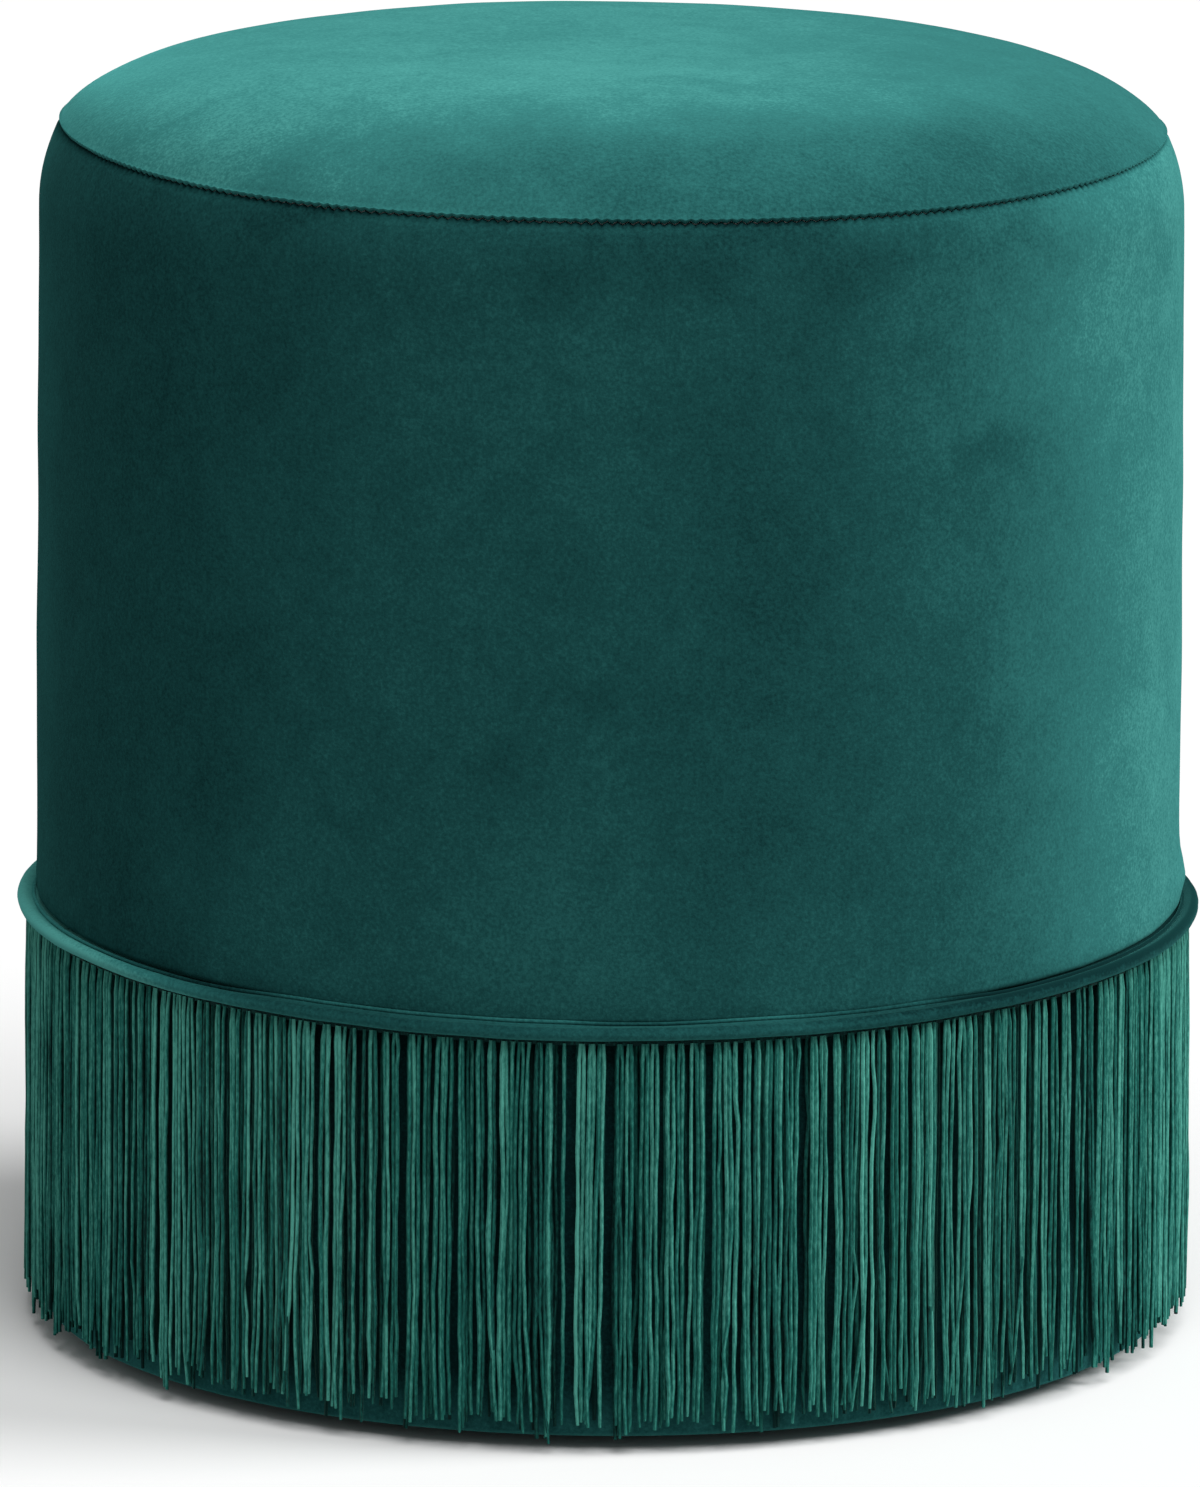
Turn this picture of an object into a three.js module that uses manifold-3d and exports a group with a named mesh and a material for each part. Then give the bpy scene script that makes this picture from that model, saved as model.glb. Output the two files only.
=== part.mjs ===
// A fringed velvet tuffet: a drum-shaped upholstered stool with a domed seat, a corded
// welt round its lower third and a skirt of hanging strands that hides the base.
// Millimetres, +Z up, with the floor at z = 0 and the drum's axis on Z. The front faces -Y.
import * as THREE from "three";
import { mergeVertices } from "three/addons/utils/BufferGeometryUtils.js";
import Module from "manifold-3d";

const wasm = await Module();
wasm.setup();

// Main sizes
const bodyRadius = 174.4; // over the velvet where the shoulder starts
const bodySpread = 1.8; // how much wider the velvet sleeve is at the welt
const weltHeight = 129.2; // middle of the welt above the floor
const sleeveHeight = 238.4; // middle of the welt to the seam of the seat
const crownRise = 27.3; // seam of the seat to the middle of the seat
const seamInset = 5.2; // the seam lies this far inside the body
const shoulderDrop = 22.3; // the sleeve starts to turn in this far below the seam
const clearance = 0.3; // between pieces that touch
const roundSegments = 48;

// Shape of the dome and the shoulder
const domeSidePower = 5.03;
const domeTopPower = 1.338;
const shoulderPower = 2.2;
const domeAngleShares = [0, 0.15, 0.32, 0.5, 0.69, 0.87, 1];
const shoulderShares = [0, 0.6, 1];

// Covers and padding
const velvetThickness = 1.5;
const waddingThickness = 6;
const seatFoamThickness = 50;
const sideFoamThickness = 9.4;
const sideFoamSlit = 0.8; // where the ends of the side foam meet, at the back
const seamAllowance = 5.2; // depth of the hems that are sewn in under the welt
const bandStepIn = 1.6; // the band behind the fringe lies this far inside the sleeve
const bandTurnUnder = 34; // width of the band's edge that is stapled under the base

// Welt
const weltCordRadius = 1.4;
const weltCoverThickness = 1.1;
const weltPlyThickness = 0.6;
const weltCordSides = 6;
const weltCoverSteps = 6; // facets of the cover's outer and inner rounds

// Fringe
const strandsPerQuarter = 78;
const strandSides = 3;
const strandWidth = 3.2;
const strandDepth = 2;
const strandTipShare = 0.72; // width of a strand's tip, as a share of its top
const rowStep = 2.4; // the outer row of strands hangs this far outside the inner one
const headerThickness = 1.2;
const tipHeight = 9.7; // mean height of the strands' tips above the floor
const tipUnevenness = 2.4;
const tipSway = 0.45; // how far a tip hangs to one side
const hemFlare = 1.2; // how far the tips stand out from the top of the strands
const lengthWaveDegrees = 137.5;
const swayWaveDegrees = 83;

// Frame
const boardThickness = 12;
const baseRingWidth = 45;
const wallThickness = 3;
const wallSlit = 1; // where the ends of the bent wall meet, at the back
const postWidth = 40;
const postDepth = 20;

// Screws that hold the boards to the posts
const screwSides = 8;
const screwHeadRadius = 4;
const screwHeadHeight = 2.6;
const screwShankRadius = 1.9;
const screwLength = 40;
const screwPointLength = 5;

// Base cloth, glides and their nails
const dustCoverThickness = 0.5;
const dustCoverInset = 1.6; // rim of the base cloth inside the rim of the base ring
const glideSides = 12;
const glideHeight = 3;
const glideRadius = 9;
const glideFootRadius = 7.5;
const glideChamferHeight = 1;
const glideInset = 14; // centre of a glide inside the rim of the base ring
const nailSides = 8;
const nailHeadRadius = 3.4;
const nailHeadThickness = 0.8;
const nailShankRadius = 1.1;
const nailLength = 13;
const nailPointLength = 2.5;

// Heights, from the floor up
const dustCoverBottom = glideHeight + clearance;
const bandBottom = dustCoverBottom + dustCoverThickness + clearance;
const baseRingBottom = bandBottom + velvetThickness + clearance;
const baseRingTop = baseRingBottom + boardThickness;
const seamHeight = weltHeight + sleeveHeight;
const shoulderHeight = seamHeight - shoulderDrop;
const domeBase = seamHeight + clearance;
const waddingInset = velvetThickness + clearance;
const seatFoamInset = waddingInset + waddingThickness + clearance;
const seatFoamBottom = domeBase + crownRise - seatFoamInset - seatFoamThickness;
const boardTop = seatFoamBottom - clearance;
const boardBottom = boardTop - boardThickness;
const postBottom = baseRingTop + clearance;
const postTop = boardBottom - clearance;

// Radii, from the outside in
const seamRadius = bodyRadius - seamInset;
const sleeveRadius = bodyRadius + bodySpread;
const bandRadius = sleeveRadius - bandStepIn;
const hemInnerRadius = sleeveRadius - seamAllowance;
const sideFoamInner = bodyRadius - waddingInset - sideFoamThickness;
const wallOuter = sideFoamInner - clearance;
const wallInner = wallOuter - wallThickness;
const boardRadius = wallInner - clearance;
const dustCoverRadius = boardRadius - dustCoverInset;
const facetShare = Math.cos(Math.PI / roundSegments); // middle of a facet, as a share of the radius
const postFace =
  Math.sqrt((boardRadius * facetShare) ** 2 - (postWidth / 2) ** 2) - clearance;
const postCentre = postFace - postDepth / 2;
const cutReach = 2 * sleeveRadius; // past every wall, for cuts
const cutHeight = 2 * (domeBase + crownRise);

// Sections of the seam under the welt
const weltRadius = weltCordRadius + clearance + weltCoverThickness;
const weltCentre = sleeveRadius + clearance + weltRadius;
const flangeHalf = weltPlyThickness + clearance / 2;
const sleeveHemBottom = weltHeight + flangeHalf + clearance;
const sleeveHemTop = sleeveHemBottom + velvetThickness;
const headerTop = weltHeight - weltRadius - clearance;
const headerBottom = headerTop - headerThickness;
const bandHemTop = headerBottom - clearance;
const bandHemBottom = bandHemTop - velvetThickness;

const innerRowRadius = bandRadius + clearance + strandDepth / 2;
const outerRowRadius = innerRowRadius + rowStep;
const headerOuter = outerRowRadius + strandDepth / 2;

// Finishes
function finish(color, roughness, metalness = 0) {
  return new THREE.MeshStandardMaterial({ color, roughness, metalness });
}
const velvet = finish("#17635c", 0.85);
const fringeYarn = finish("#1f7a64", 0.6);
const blackCloth = finish("#15171a", 0.95);
const foam = finish("#e8e2cf", 0.95);
const wadding = finish("#f1f1ee", 1);
const fibreboard = finish("#b08a5c", 0.8);
const hardboard = finish("#6d4a30", 0.7);
const pine = finish("#d9b781", 0.7);
const cotton = finish("#ddd6c4", 0.95);
const zincSteel = finish("#b9bcc0", 0.35, 0.9);
const blackPlastic = finish("#17181a", 0.5);

const quarterTurn = Math.PI / 2;
const sides = ["front", "right", "back", "left"];
const corners = ["front_right", "back_right", "back_left", "front_left"];

const tuffet = new THREE.Group();

function place(name, geometry, material) {
  const mesh = new THREE.Mesh(geometry, material);
  mesh.name = name;
  tuffet.add(mesh);
  return mesh;
}

const at = (radius, height) => new THREE.Vector2(radius, height);

// Turns an outline of (radius, height) points about Z. It runs anticlockwise, with the radius to the right.
function revolve(outline, segments = roundSegments) {
  return new THREE.LatheGeometry(outline, segments).rotateX(Math.PI / 2);
}

// As revolve, for an outline that is a closed ring clear of the axis.
function revolveRing(outline, segments = roundSegments) {
  return revolve([...outline, outline[0].clone()], segments);
}

function box(width, depth, height, x, y, z) {
  return new THREE.BoxGeometry(width, depth, height).translate(x, y, z);
}

// A closed geometry as a solid that can be cut and joined.
function solid(geometry) {
  const bare = geometry.clone();
  bare.deleteAttribute("normal");
  bare.deleteAttribute("uv");
  const merged = mergeVertices(bare);
  const index = merged.index.array;
  const corners = [];
  for (let i = 0; i < index.length; i += 3) {
    const [a, b, c] = [index[i], index[i + 1], index[i + 2]];
    if (a !== b && b !== c && c !== a) corners.push(a, b, c);
  }
  const mesh = new wasm.Mesh({
    numProp: 3,
    vertProperties: merged.attributes.position.array,
    triVerts: new Uint32Array(corners),
  });
  return new wasm.Manifold(mesh);
}

function geometryOf(made) {
  const mesh = made.getMesh();
  const geometry = new THREE.BufferGeometry();
  geometry.setAttribute("position", new THREE.BufferAttribute(mesh.vertProperties, 3));
  geometry.setIndex(new THREE.BufferAttribute(mesh.triVerts, 1));
  const faceted = geometry.toNonIndexed();
  faceted.computeVertexNormals();
  return faceted;
}

function cutFrom(geometry, cutters) {
  const left = cutters.reduce((made, cutter) => made.subtract(solid(cutter)), solid(geometry));
  return geometryOf(left);
}

// A copy of a geometry at each quarter turn, from the angle given.
function quarterCopies(geometry, firstAngle) {
  return sides.map((_, i) => geometry.clone().rotateZ(firstAngle + i * quarterTurn));
}

// Line of the seat's dome from the rim to the middle, drawn in all round by an inset.
function domeLine(inset) {
  const radius = seamRadius - inset;
  const rise = crownRise - inset;
  return domeAngleShares.map((share) => {
    const angle = (share * Math.PI) / 2;
    const across = share < 1 ? Math.cos(angle) ** (2 / domeSidePower) : 0;
    const up = Math.sin(angle) ** (2 / domeTopPower);
    return at(radius * across, domeBase + rise * up);
  });
}

// Outer line of the shoulder from the straight side up to the seam, moved inwards by an inset.
function shoulderLine(inset) {
  return shoulderShares.map((share) => {
    const slope = (seamInset * shoulderPower * share ** (shoulderPower - 1)) / shoulderDrop;
    const point = at(
      bodyRadius - seamInset * share ** shoulderPower,
      shoulderHeight + shoulderDrop * share,
    );
    return point.addScaledVector(at(1, slope).normalize(), -inset);
  });
}

// Seat cover: a velvet disc pulled over the dome, sewn to the sleeve at its rim.
function topCover() {
  const inner = domeLine(velvetThickness).reverse();
  return revolve([...inner, ...domeLine(0)]);
}

// Sleeve: the velvet side, with its hem turned in over the welt.
function sideCover() {
  return revolveRing([
    at(hemInnerRadius, sleeveHemBottom),
    at(sleeveRadius, sleeveHemBottom),
    ...shoulderLine(0),
    ...shoulderLine(velvetThickness).reverse(),
    at(sleeveRadius - velvetThickness, sleeveHemTop),
    at(hemInnerRadius, sleeveHemTop),
  ]);
}

// Velvet band behind the fringe, hemmed in under the welt and turned under the base.
function lowerBand(nailHoles) {
  const inside = bandRadius - velvetThickness;
  const underTop = bandBottom + velvetThickness;
  const underInner = bandRadius - bandTurnUnder;
  const band = revolveRing([
    at(underInner, bandBottom),
    at(bandRadius, bandBottom),
    at(bandRadius, bandHemTop),
    at(hemInnerRadius, bandHemTop),
    at(hemInnerRadius, bandHemBottom),
    at(inside, bandHemBottom),
    at(inside, underTop),
    at(underInner, underTop),
  ]);
  return cutFrom(band, nailHoles);
}

// Wadding laid over the seat foam, down to the top of the side foam.
function seatWadding() {
  const inset = waddingInset + waddingThickness;
  return revolve([
    ...domeLine(inset).reverse(),
    ...shoulderLine(inset).reverse(),
    at(bodyRadius - inset, seatFoamBottom),
    at(bodyRadius - waddingInset, seatFoamBottom),
    ...shoulderLine(waddingInset),
    ...domeLine(waddingInset),
  ]);
}

function seatFoam() {
  return revolve([
    at(0, seatFoamBottom),
    at(bodyRadius - seatFoamInset, seatFoamBottom),
    ...shoulderLine(seatFoamInset),
    ...domeLine(seatFoamInset),
  ]);
}

// Foam sheet wrapped round the wall, pressed in where the hems lie under the welt.
function sideFoam() {
  const grooveRadius = hemInnerRadius - clearance;
  const lowerRadius = bandRadius - velvetThickness - clearance;
  const grooveBottom = bandHemBottom - clearance;
  const grooveTop = sleeveHemTop + clearance;
  const sheet = revolveRing([
    at(sideFoamInner, baseRingBottom),
    at(lowerRadius, baseRingBottom),
    at(lowerRadius, grooveBottom),
    at(grooveRadius, grooveBottom),
    at(grooveRadius, grooveTop),
    at(sleeveRadius - waddingInset, grooveTop),
    at(bodyRadius - waddingInset, boardTop),
    at(sideFoamInner, boardTop),
  ]);
  return cutFrom(sheet, [backSlit(sideFoamSlit)]);
}

// A slit through the back of a ring, as tall as the stool.
function backSlit(width) {
  return box(width, cutReach, cutHeight, 0, cutReach / 2, 0);
}

function wallWrap() {
  const ring = revolveRing([
    at(wallInner, baseRingBottom),
    at(wallOuter, baseRingBottom),
    at(wallOuter, boardTop),
    at(wallInner, boardTop),
  ]);
  return cutFrom(ring, [backSlit(wallSlit)]);
}

// Outline of a countersunk wood screw along -Z, with the top of its head at z = 0, grown by a gap.
function screwOutline(gap) {
  return [
    at(0, -screwLength - gap),
    at(screwShankRadius / 2 + gap, -screwLength - gap),
    at(screwShankRadius + gap, -screwLength + screwPointLength),
    at(screwShankRadius + gap, -screwHeadHeight - gap),
    at(screwHeadRadius + gap, 0),
  ];
}

function screw() {
  return revolve([...screwOutline(0), at(0, 0)], screwSides);
}

// The hole of a screw, open past the face that its head is sunk into.
function screwHole() {
  const mouth = 2 * clearance;
  const rim = screwHeadRadius + clearance;
  return revolve([...screwOutline(clearance), at(rim, mouth), at(0, mouth)], screwSides);
}

const topScrewHeight = boardTop - clearance;
const baseScrewHeight = baseRingBottom + clearance;

// The screws' holes in the top board, the base ring and the posts, all where the screws are.
function topScrewHole() {
  return screwHole().translate(0, -postCentre, topScrewHeight);
}

function baseScrewHole() {
  return screwHole().rotateX(Math.PI).translate(0, -postCentre, baseScrewHeight);
}

function topBoard() {
  const disc = revolve([
    at(0, boardBottom),
    at(boardRadius, boardBottom),
    at(boardRadius, boardTop),
    at(0, boardTop),
  ]);
  return cutFrom(disc, quarterCopies(topScrewHole(), 0));
}

function baseRing(nailHoles) {
  const inner = boardRadius - baseRingWidth;
  const ring = revolveRing([
    at(inner, baseRingBottom),
    at(boardRadius, baseRingBottom),
    at(boardRadius, baseRingTop),
    at(inner, baseRingTop),
  ]);
  return cutFrom(ring, [...quarterCopies(baseScrewHole(), 0), ...nailHoles]);
}

function post() {
  const height = postTop - postBottom;
  const bar = box(postWidth, postDepth, height, 0, -postCentre, postBottom + height / 2);
  return cutFrom(bar, [topScrewHole(), baseScrewHole()]);
}

// Welt cord: a round cord laid in a ring.
function weltCord() {
  const outline = Array.from({ length: weltCordSides }, (_, i) => {
    const angle = (i * 2 * Math.PI) / weltCordSides;
    return at(
      weltCentre + weltCordRadius * Math.cos(angle),
      weltHeight + weltCordRadius * Math.sin(angle),
    );
  });
  return revolveRing(outline);
}

// Part of a circle about the welt's middle, from one angle to another.
function weltArc(radius, from, to, steps) {
  return Array.from({ length: steps + 1 }, (_, i) => {
    const angle = from + ((to - from) * i) / steps;
    return at(weltCentre + radius * Math.cos(angle), weltHeight + radius * Math.sin(angle));
  });
}

// Welt cover: a bias strip folded round the cord, its two plies running in under the sleeve.
function weltCover() {
  const slitHalf = clearance / 2;
  const hollow = weltRadius - weltCoverThickness;
  const outerAngle = Math.PI - Math.asin(flangeHalf / weltRadius);
  const innerAngle = Math.PI - Math.asin(slitHalf / hollow);
  return revolveRing([
    at(hemInnerRadius, weltHeight - flangeHalf),
    ...weltArc(weltRadius, -outerAngle, outerAngle, weltCoverSteps + 2),
    at(hemInnerRadius, weltHeight + flangeHalf),
    at(hemInnerRadius, weltHeight + slitHalf),
    ...weltArc(hollow, innerAngle, -innerAngle, weltCoverSteps),
    at(hemInnerRadius, weltHeight - slitHalf),
  ]);
}

// One hanging strand, from inside the header down to its tip.
function strand(i) {
  const angle = quarterTurn * ((i + 1 / 2) / strandsPerQuarter - 1 / 2);
  const rowRadius = i % 2 ? innerRowRadius : outerRowRadius;
  const lengthWave = Math.sin(THREE.MathUtils.degToRad(lengthWaveDegrees * i));
  const swayWave = Math.sin(THREE.MathUtils.degToRad(swayWaveDegrees * i));
  const outward = new THREE.Vector3(Math.sin(angle), -Math.cos(angle), 0);
  const sideways = new THREE.Vector3(Math.cos(angle), Math.sin(angle), 0);
  const top = outward.clone().multiplyScalar(rowRadius);
  top.z = headerTop - headerThickness / 2;
  const tip = outward.clone().multiplyScalar(rowRadius + hemFlare);
  tip.addScaledVector(sideways, tipSway * swayWave);
  tip.z = tipHeight + tipUnevenness * lengthWave;
  const middle = top.clone().add(tip).divideScalar(2);
  const shape = new THREE.Matrix4().makeBasis(
    sideways.clone().multiplyScalar(strandWidth / 2),
    top.clone().sub(tip),
    outward.clone().multiplyScalar(strandDepth / 2),
  );
  shape.setPosition(middle);
  return new THREE.CylinderGeometry(1, strandTipShare, 1, strandSides).applyMatrix4(shape);
}

// A quarter of the fringe: its strands, fused to their slice of the header tape.
function fringeQuarter() {
  const header = revolveRing([
    at(hemInnerRadius, headerBottom),
    at(headerOuter, headerBottom),
    at(headerOuter, headerTop),
    at(hemInnerRadius, headerTop),
  ]);
  const corner = clearance / 2 + cutReach / 2;
  const quadrant = box(cutReach, cutReach, cutHeight, corner, corner, 0);
  const slice = solid(header).intersect(solid(quadrant.rotateZ((-3 * quarterTurn) / 2)));
  let skirt = slice;
  for (let i = 0; i < strandsPerQuarter; i += 1) {
    skirt = skirt.add(solid(strand(i)));
  }
  return geometryOf(skirt);
}

// A glide's nail, head down, with the underside of its head at z = 0.
function nail() {
  return revolve(
    [
      at(0, 0),
      at(nailHeadRadius, 0),
      at(nailHeadRadius, nailHeadThickness),
      at(nailShankRadius, nailHeadThickness),
      at(nailShankRadius, nailLength - nailPointLength),
      at(0, nailLength),
    ],
    nailSides,
  );
}

// A glide: a low plastic foot with a pocket for the head of its nail.
function glide() {
  const pocketRadius = nailHeadRadius + clearance;
  const pocketFloor = glideHeight - nailHeadThickness - clearance;
  return revolve(
    [
      at(0, 0),
      at(glideFootRadius, 0),
      at(glideRadius, glideChamferHeight),
      at(glideRadius, glideHeight),
      at(pocketRadius, glideHeight),
      at(pocketRadius, pocketFloor),
      at(0, pocketFloor),
    ],
    glideSides,
  );
}

const glideCentre = boardRadius - glideInset;
const nailHeight = glideHeight - nailHeadThickness;

function nailHole() {
  const radius = nailShankRadius + clearance;
  const top = nailHeight + nailLength + clearance;
  const hole = revolve([at(0, 0), at(radius, 0), at(radius, top), at(0, top)], nailSides);
  return hole.translate(0, -glideCentre, 0);
}

const nailHoles = quarterCopies(nailHole(), quarterTurn / 2);

function dustCover() {
  const top = dustCoverBottom + dustCoverThickness;
  const disc = revolve([
    at(0, dustCoverBottom),
    at(dustCoverRadius, dustCoverBottom),
    at(dustCoverRadius, top),
    at(0, top),
  ]);
  return cutFrom(disc, nailHoles);
}

place("top_board", topBoard(), fibreboard);
place("base_ring", baseRing(nailHoles), fibreboard);
place("wall_wrap", wallWrap(), hardboard);
place("side_foam", sideFoam(), foam);
place("seat_foam", seatFoam(), foam);
place("seat_wadding", seatWadding(), wadding);
place("top_cover", topCover(), velvet);
place("side_cover", sideCover(), velvet);
place("lower_band", lowerBand(nailHoles), velvet);
place("welt_cord", weltCord(), cotton);
place("welt_cover", weltCover(), velvet);
place("dust_cover", dustCover(), blackCloth);

// What stands at the four sides, in order from the front
const postGeometry = post();
const fringeGeometry = fringeQuarter();
sides.forEach((side, i) => {
  const turn = i * quarterTurn;
  place(`post_${side}`, postGeometry, pine).rotation.z = turn;
  place(`fringe_${side}`, fringeGeometry, fringeYarn).rotation.z = turn;
  const x = postCentre * Math.sin(turn);
  const y = -postCentre * Math.cos(turn);
  place(`top_screw_${side}`, screw(), zincSteel).position.set(x, y, topScrewHeight);
  const baseScrew = place(`base_screw_${side}`, screw(), zincSteel);
  baseScrew.position.set(x, y, baseScrewHeight);
  baseScrew.rotation.x = Math.PI;
});

// What stands between them
corners.forEach((corner, i) => {
  const turn = (i + 1 / 2) * quarterTurn;
  const x = glideCentre * Math.sin(turn);
  const y = -glideCentre * Math.cos(turn);
  place(`glide_${corner}`, glide(), blackPlastic).position.set(x, y, 0);
  place(`glide_nail_${corner}`, nail(), zincSteel).position.set(x, y, nailHeight);
});

export default tuffet;
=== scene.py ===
import math
import random
from collections import namedtuple

import bpy
from mathutils import Matrix, Vector, noise


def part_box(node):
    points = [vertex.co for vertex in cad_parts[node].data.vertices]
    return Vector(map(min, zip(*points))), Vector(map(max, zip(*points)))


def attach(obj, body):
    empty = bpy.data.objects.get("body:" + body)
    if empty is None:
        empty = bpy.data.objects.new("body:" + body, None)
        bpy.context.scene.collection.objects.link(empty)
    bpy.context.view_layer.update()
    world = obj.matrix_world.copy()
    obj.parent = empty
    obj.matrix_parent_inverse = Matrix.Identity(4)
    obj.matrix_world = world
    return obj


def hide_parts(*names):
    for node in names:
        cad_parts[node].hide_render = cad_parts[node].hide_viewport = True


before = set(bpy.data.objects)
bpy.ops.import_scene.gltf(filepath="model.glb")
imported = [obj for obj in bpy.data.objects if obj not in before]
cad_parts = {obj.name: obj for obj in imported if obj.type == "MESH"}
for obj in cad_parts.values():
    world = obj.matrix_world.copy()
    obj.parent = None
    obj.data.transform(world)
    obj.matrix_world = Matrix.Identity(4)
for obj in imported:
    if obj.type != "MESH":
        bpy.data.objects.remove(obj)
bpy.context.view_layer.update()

MM = 0.001

# Places on the frame
seat_low, seat_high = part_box("top_cover")
side_low, side_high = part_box("side_cover")
band_low, band_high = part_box("lower_band")
welt_low, welt_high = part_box("welt_cover")
cloth_low, cloth_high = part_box("dust_cover")
foam_low, foam_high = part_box("seat_foam")
wadding_low, wadding_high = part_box("seat_wadding")
wrap_low, wrap_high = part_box("side_foam")
fringe_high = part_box("fringe_front")[1]
wall_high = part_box("wall_wrap")[1]

SEAM_RADIUS = seat_high.x
CROWN_BASE = seat_low.z
SEAM_TOP = side_high.z
CROWN_RISE = seat_high.z - seat_low.z
SLEEVE_RADIUS = side_high.x
SLEEVE_HEM = side_low.z
WELT_REACH = welt_high.x
WELT_HEIGHT = (welt_low.z + welt_high.z) / 2
BAND_RADIUS = band_high.x
BAND_FOOT = band_low.z
BAND_TOP = band_high.z
HEADER_TOP = fringe_high.z
CLOTH_RADIUS = cloth_high.x
CLOTH_MIDDLE = (cloth_low.z + cloth_high.z) / 2
FRONT = -math.pi / 2
BACK = math.pi / 2  # direction of the upright seam

# Shape of the covers
BODY_RADIUS = 174.4 * MM  # where the shoulder starts
SHOULDER_DROP = 22.3 * MM
SHOULDER_POWER = 2.2
CROWN_SIDE_POWER = 5.03
CROWN_TOP_POWER = 1.338
CROWN_CROWDING = 1.8  # how much closer the points of the crown lie at its rim, as a power
VELVET = 1.5 * MM
CLEARANCE = 0.3 * MM
LIP_ROUND = 1.1 * MM  # of the two edges that meet in the seam of the seat
HEM_ROUND = 2.2 * MM
HEM_INNER = 171 * MM  # the hems under the welt reach in this far
PLAIN_STEPS = 144

# Seam of the seat
SEAT_LEAN = 0.0045  # the padding is a little higher on the left, as a rise over a run
SEAM_LEVEL = -1.1 * MM  # how the seam strays from an even circle
SEAM_TILT = 0.6 * MM
SEAM_SADDLE = 2.2 * MM
SEAM_RIPPLE = 0.64 * MM
SEAM_SLOPE = 0.5  # of the padding under the seam, as a run over a rise
SEAM_SPREAD = 14 * MM  # how far from the seam the velvet follows it
SEAM_PUCKER = 0.38 * MM  # how far each stitch draws the velvet in
PUCKER_SPREAD = 1.6 * MM
SEAM_SHADE = 0.35  # painted shade: how much darker the velvet is painted in the seam
SEAM_SHADE_SPREAD = 0.65 * MM
STITCH_COUNT = 354
STITCH_LENGTH = 2.2 * MM
STITCH_PARTS = 4
STITCH_ROUND = 0.22 * MM
STITCH_SIDES = 5
STITCH_DIP = 0.5 * MM
STITCH_SLANTS = (20, 45)  # degrees
STITCH_SEED = 5
SEAM_STITCH_DEPTH = 0.9 * MM  # under the surface, to the stitch's middle
UPRIGHT_STITCH_DEPTH = 0.75 * MM
ROUND_STEPS = 2 * STITCH_COUNT

# Slack, puckers and a darker rim of the seat. A list of waves holds the height, the size and the seed
# of each
SEAT_SLACK = [(0.45 * MM, 70 * MM, 1.0), (0.15 * MM, 22 * MM, 2.0)]
SEAT_SLACK_FADE = 12 * MM
SLEEVE_SLACK = [(0.5 * MM, 60 * MM, 3.0), (0.2 * MM, 24 * MM, 4.0)]
SLEEVE_SLACK_START = 4 * MM  # over the hem
SLEEVE_SLACK_FADES = (30 * MM, 14 * MM)  # at the hem and at the seam of the seat
PUCKER_WAVES = [(0.7, 9 * MM, 5.0)]
HEM_WAVES = [(0.35 * MM, 9 * MM, 6.0)]
HEM_WAVE_HEIGHT = 5 * MM
HEM_SPREAD = 8 * MM
BULGE = 2 * MM  # of the sleeve over the welt, at the far right
BULGE_HEIGHT = 6 * MM
BULGE_FADE = 5 * MM
BULGE_SPREAD = 0.2  # radians
RIM_SHADE = 0.28  # how much darker the velvet is along the rim of the seat, right of the front
RIM_SHADE_TURN = math.radians(-46)
RIM_SHADE_SPREAD = 0.5  # radians
RIM_SHADE_START = 125 * MM
RIM_SHADE_FADE = 45 * MM

# Upright seam at the back
SEAM_GROOVE = 1.1 * MM
SEAM_GROOVE_WIDTH = 0.7 * MM
SEAM_PUFF = 0.35 * MM
SEAM_PUFF_PLACE = 3 * MM  # to both sides of the seam
SEAM_PUFF_WIDTH = 2 * MM
CROWDING = 0.62  # how closely the columns of points lie together at the seam
CROWDING_SPREAD = 7 * MM

# Welt
WELT_ROUND = 2.0 * MM
WELT_CENTRE = WELT_REACH - WELT_ROUND
WELT_LEVEL = WELT_HEIGHT - 0.5 * MM  # the roll hangs a little under its flange
WELT_HOLLOW = 1.45 * MM  # radius of the hollow that holds the cord
WELT_PLY = 0.6 * MM
WELT_RISE = 0.2 * MM  # how the welt and all that is sewn to it stray from a level circle
WELT_TILT = 0.4 * MM
WELT_SADDLE = 1.5 * MM
WELT_SPREAD = 16 * MM
WELT_WAVES = [(0.35 * MM, 45 * MM, 7.0), (0.15 * MM, 13 * MM, 8.0)]
WELT_SWELL = [(0.12 * MM, 7 * MM, 9.0)]
# Painted light and shade on the roll of the welt: paler at its foot, darker on its top
WELT_FOOT_LIGHT = 0.42
WELT_TOP_SHADE = 0.28
RIDGE_ROUND = 0.6 * MM  # small fold that runs along the top of the welt
RIDGE_OUT = 0.8 * MM  # from the sleeve to the middle of the ridge
RIDGE_RISE = 2.8 * MM  # from the middle of the roll
RIDGE_DROP = 1.4 * MM  # where it sinks in behind the roll
RIDGE_BASE = 1.3 * MM  # what can sink is higher than this over the middle of the roll
RIDGE_BEHIND = 1 * MM  # and further in than this
RIDGE_FADE = 1 * MM
RIDGE_END = 0.5  # it starts to sink in at this share of the way to the far left or right
RIDGE_END_FADE = 0.2
RIDGE_WAVES = [(1, 50 * MM, 14.0)]
# Painted highlight on the ridge where it stands up, and painted shade where it has sunk in
RIDGE_LIGHT = 0.4
RIDGE_SUNK_SHADE = 0.5
CORD_ROUND = 1.2 * MM
CORD_PLIES = 3
CORD_TWISTS = 110
CORD_GROOVE = 0.11  # between two plies, as a share of the cord's radius

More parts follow.
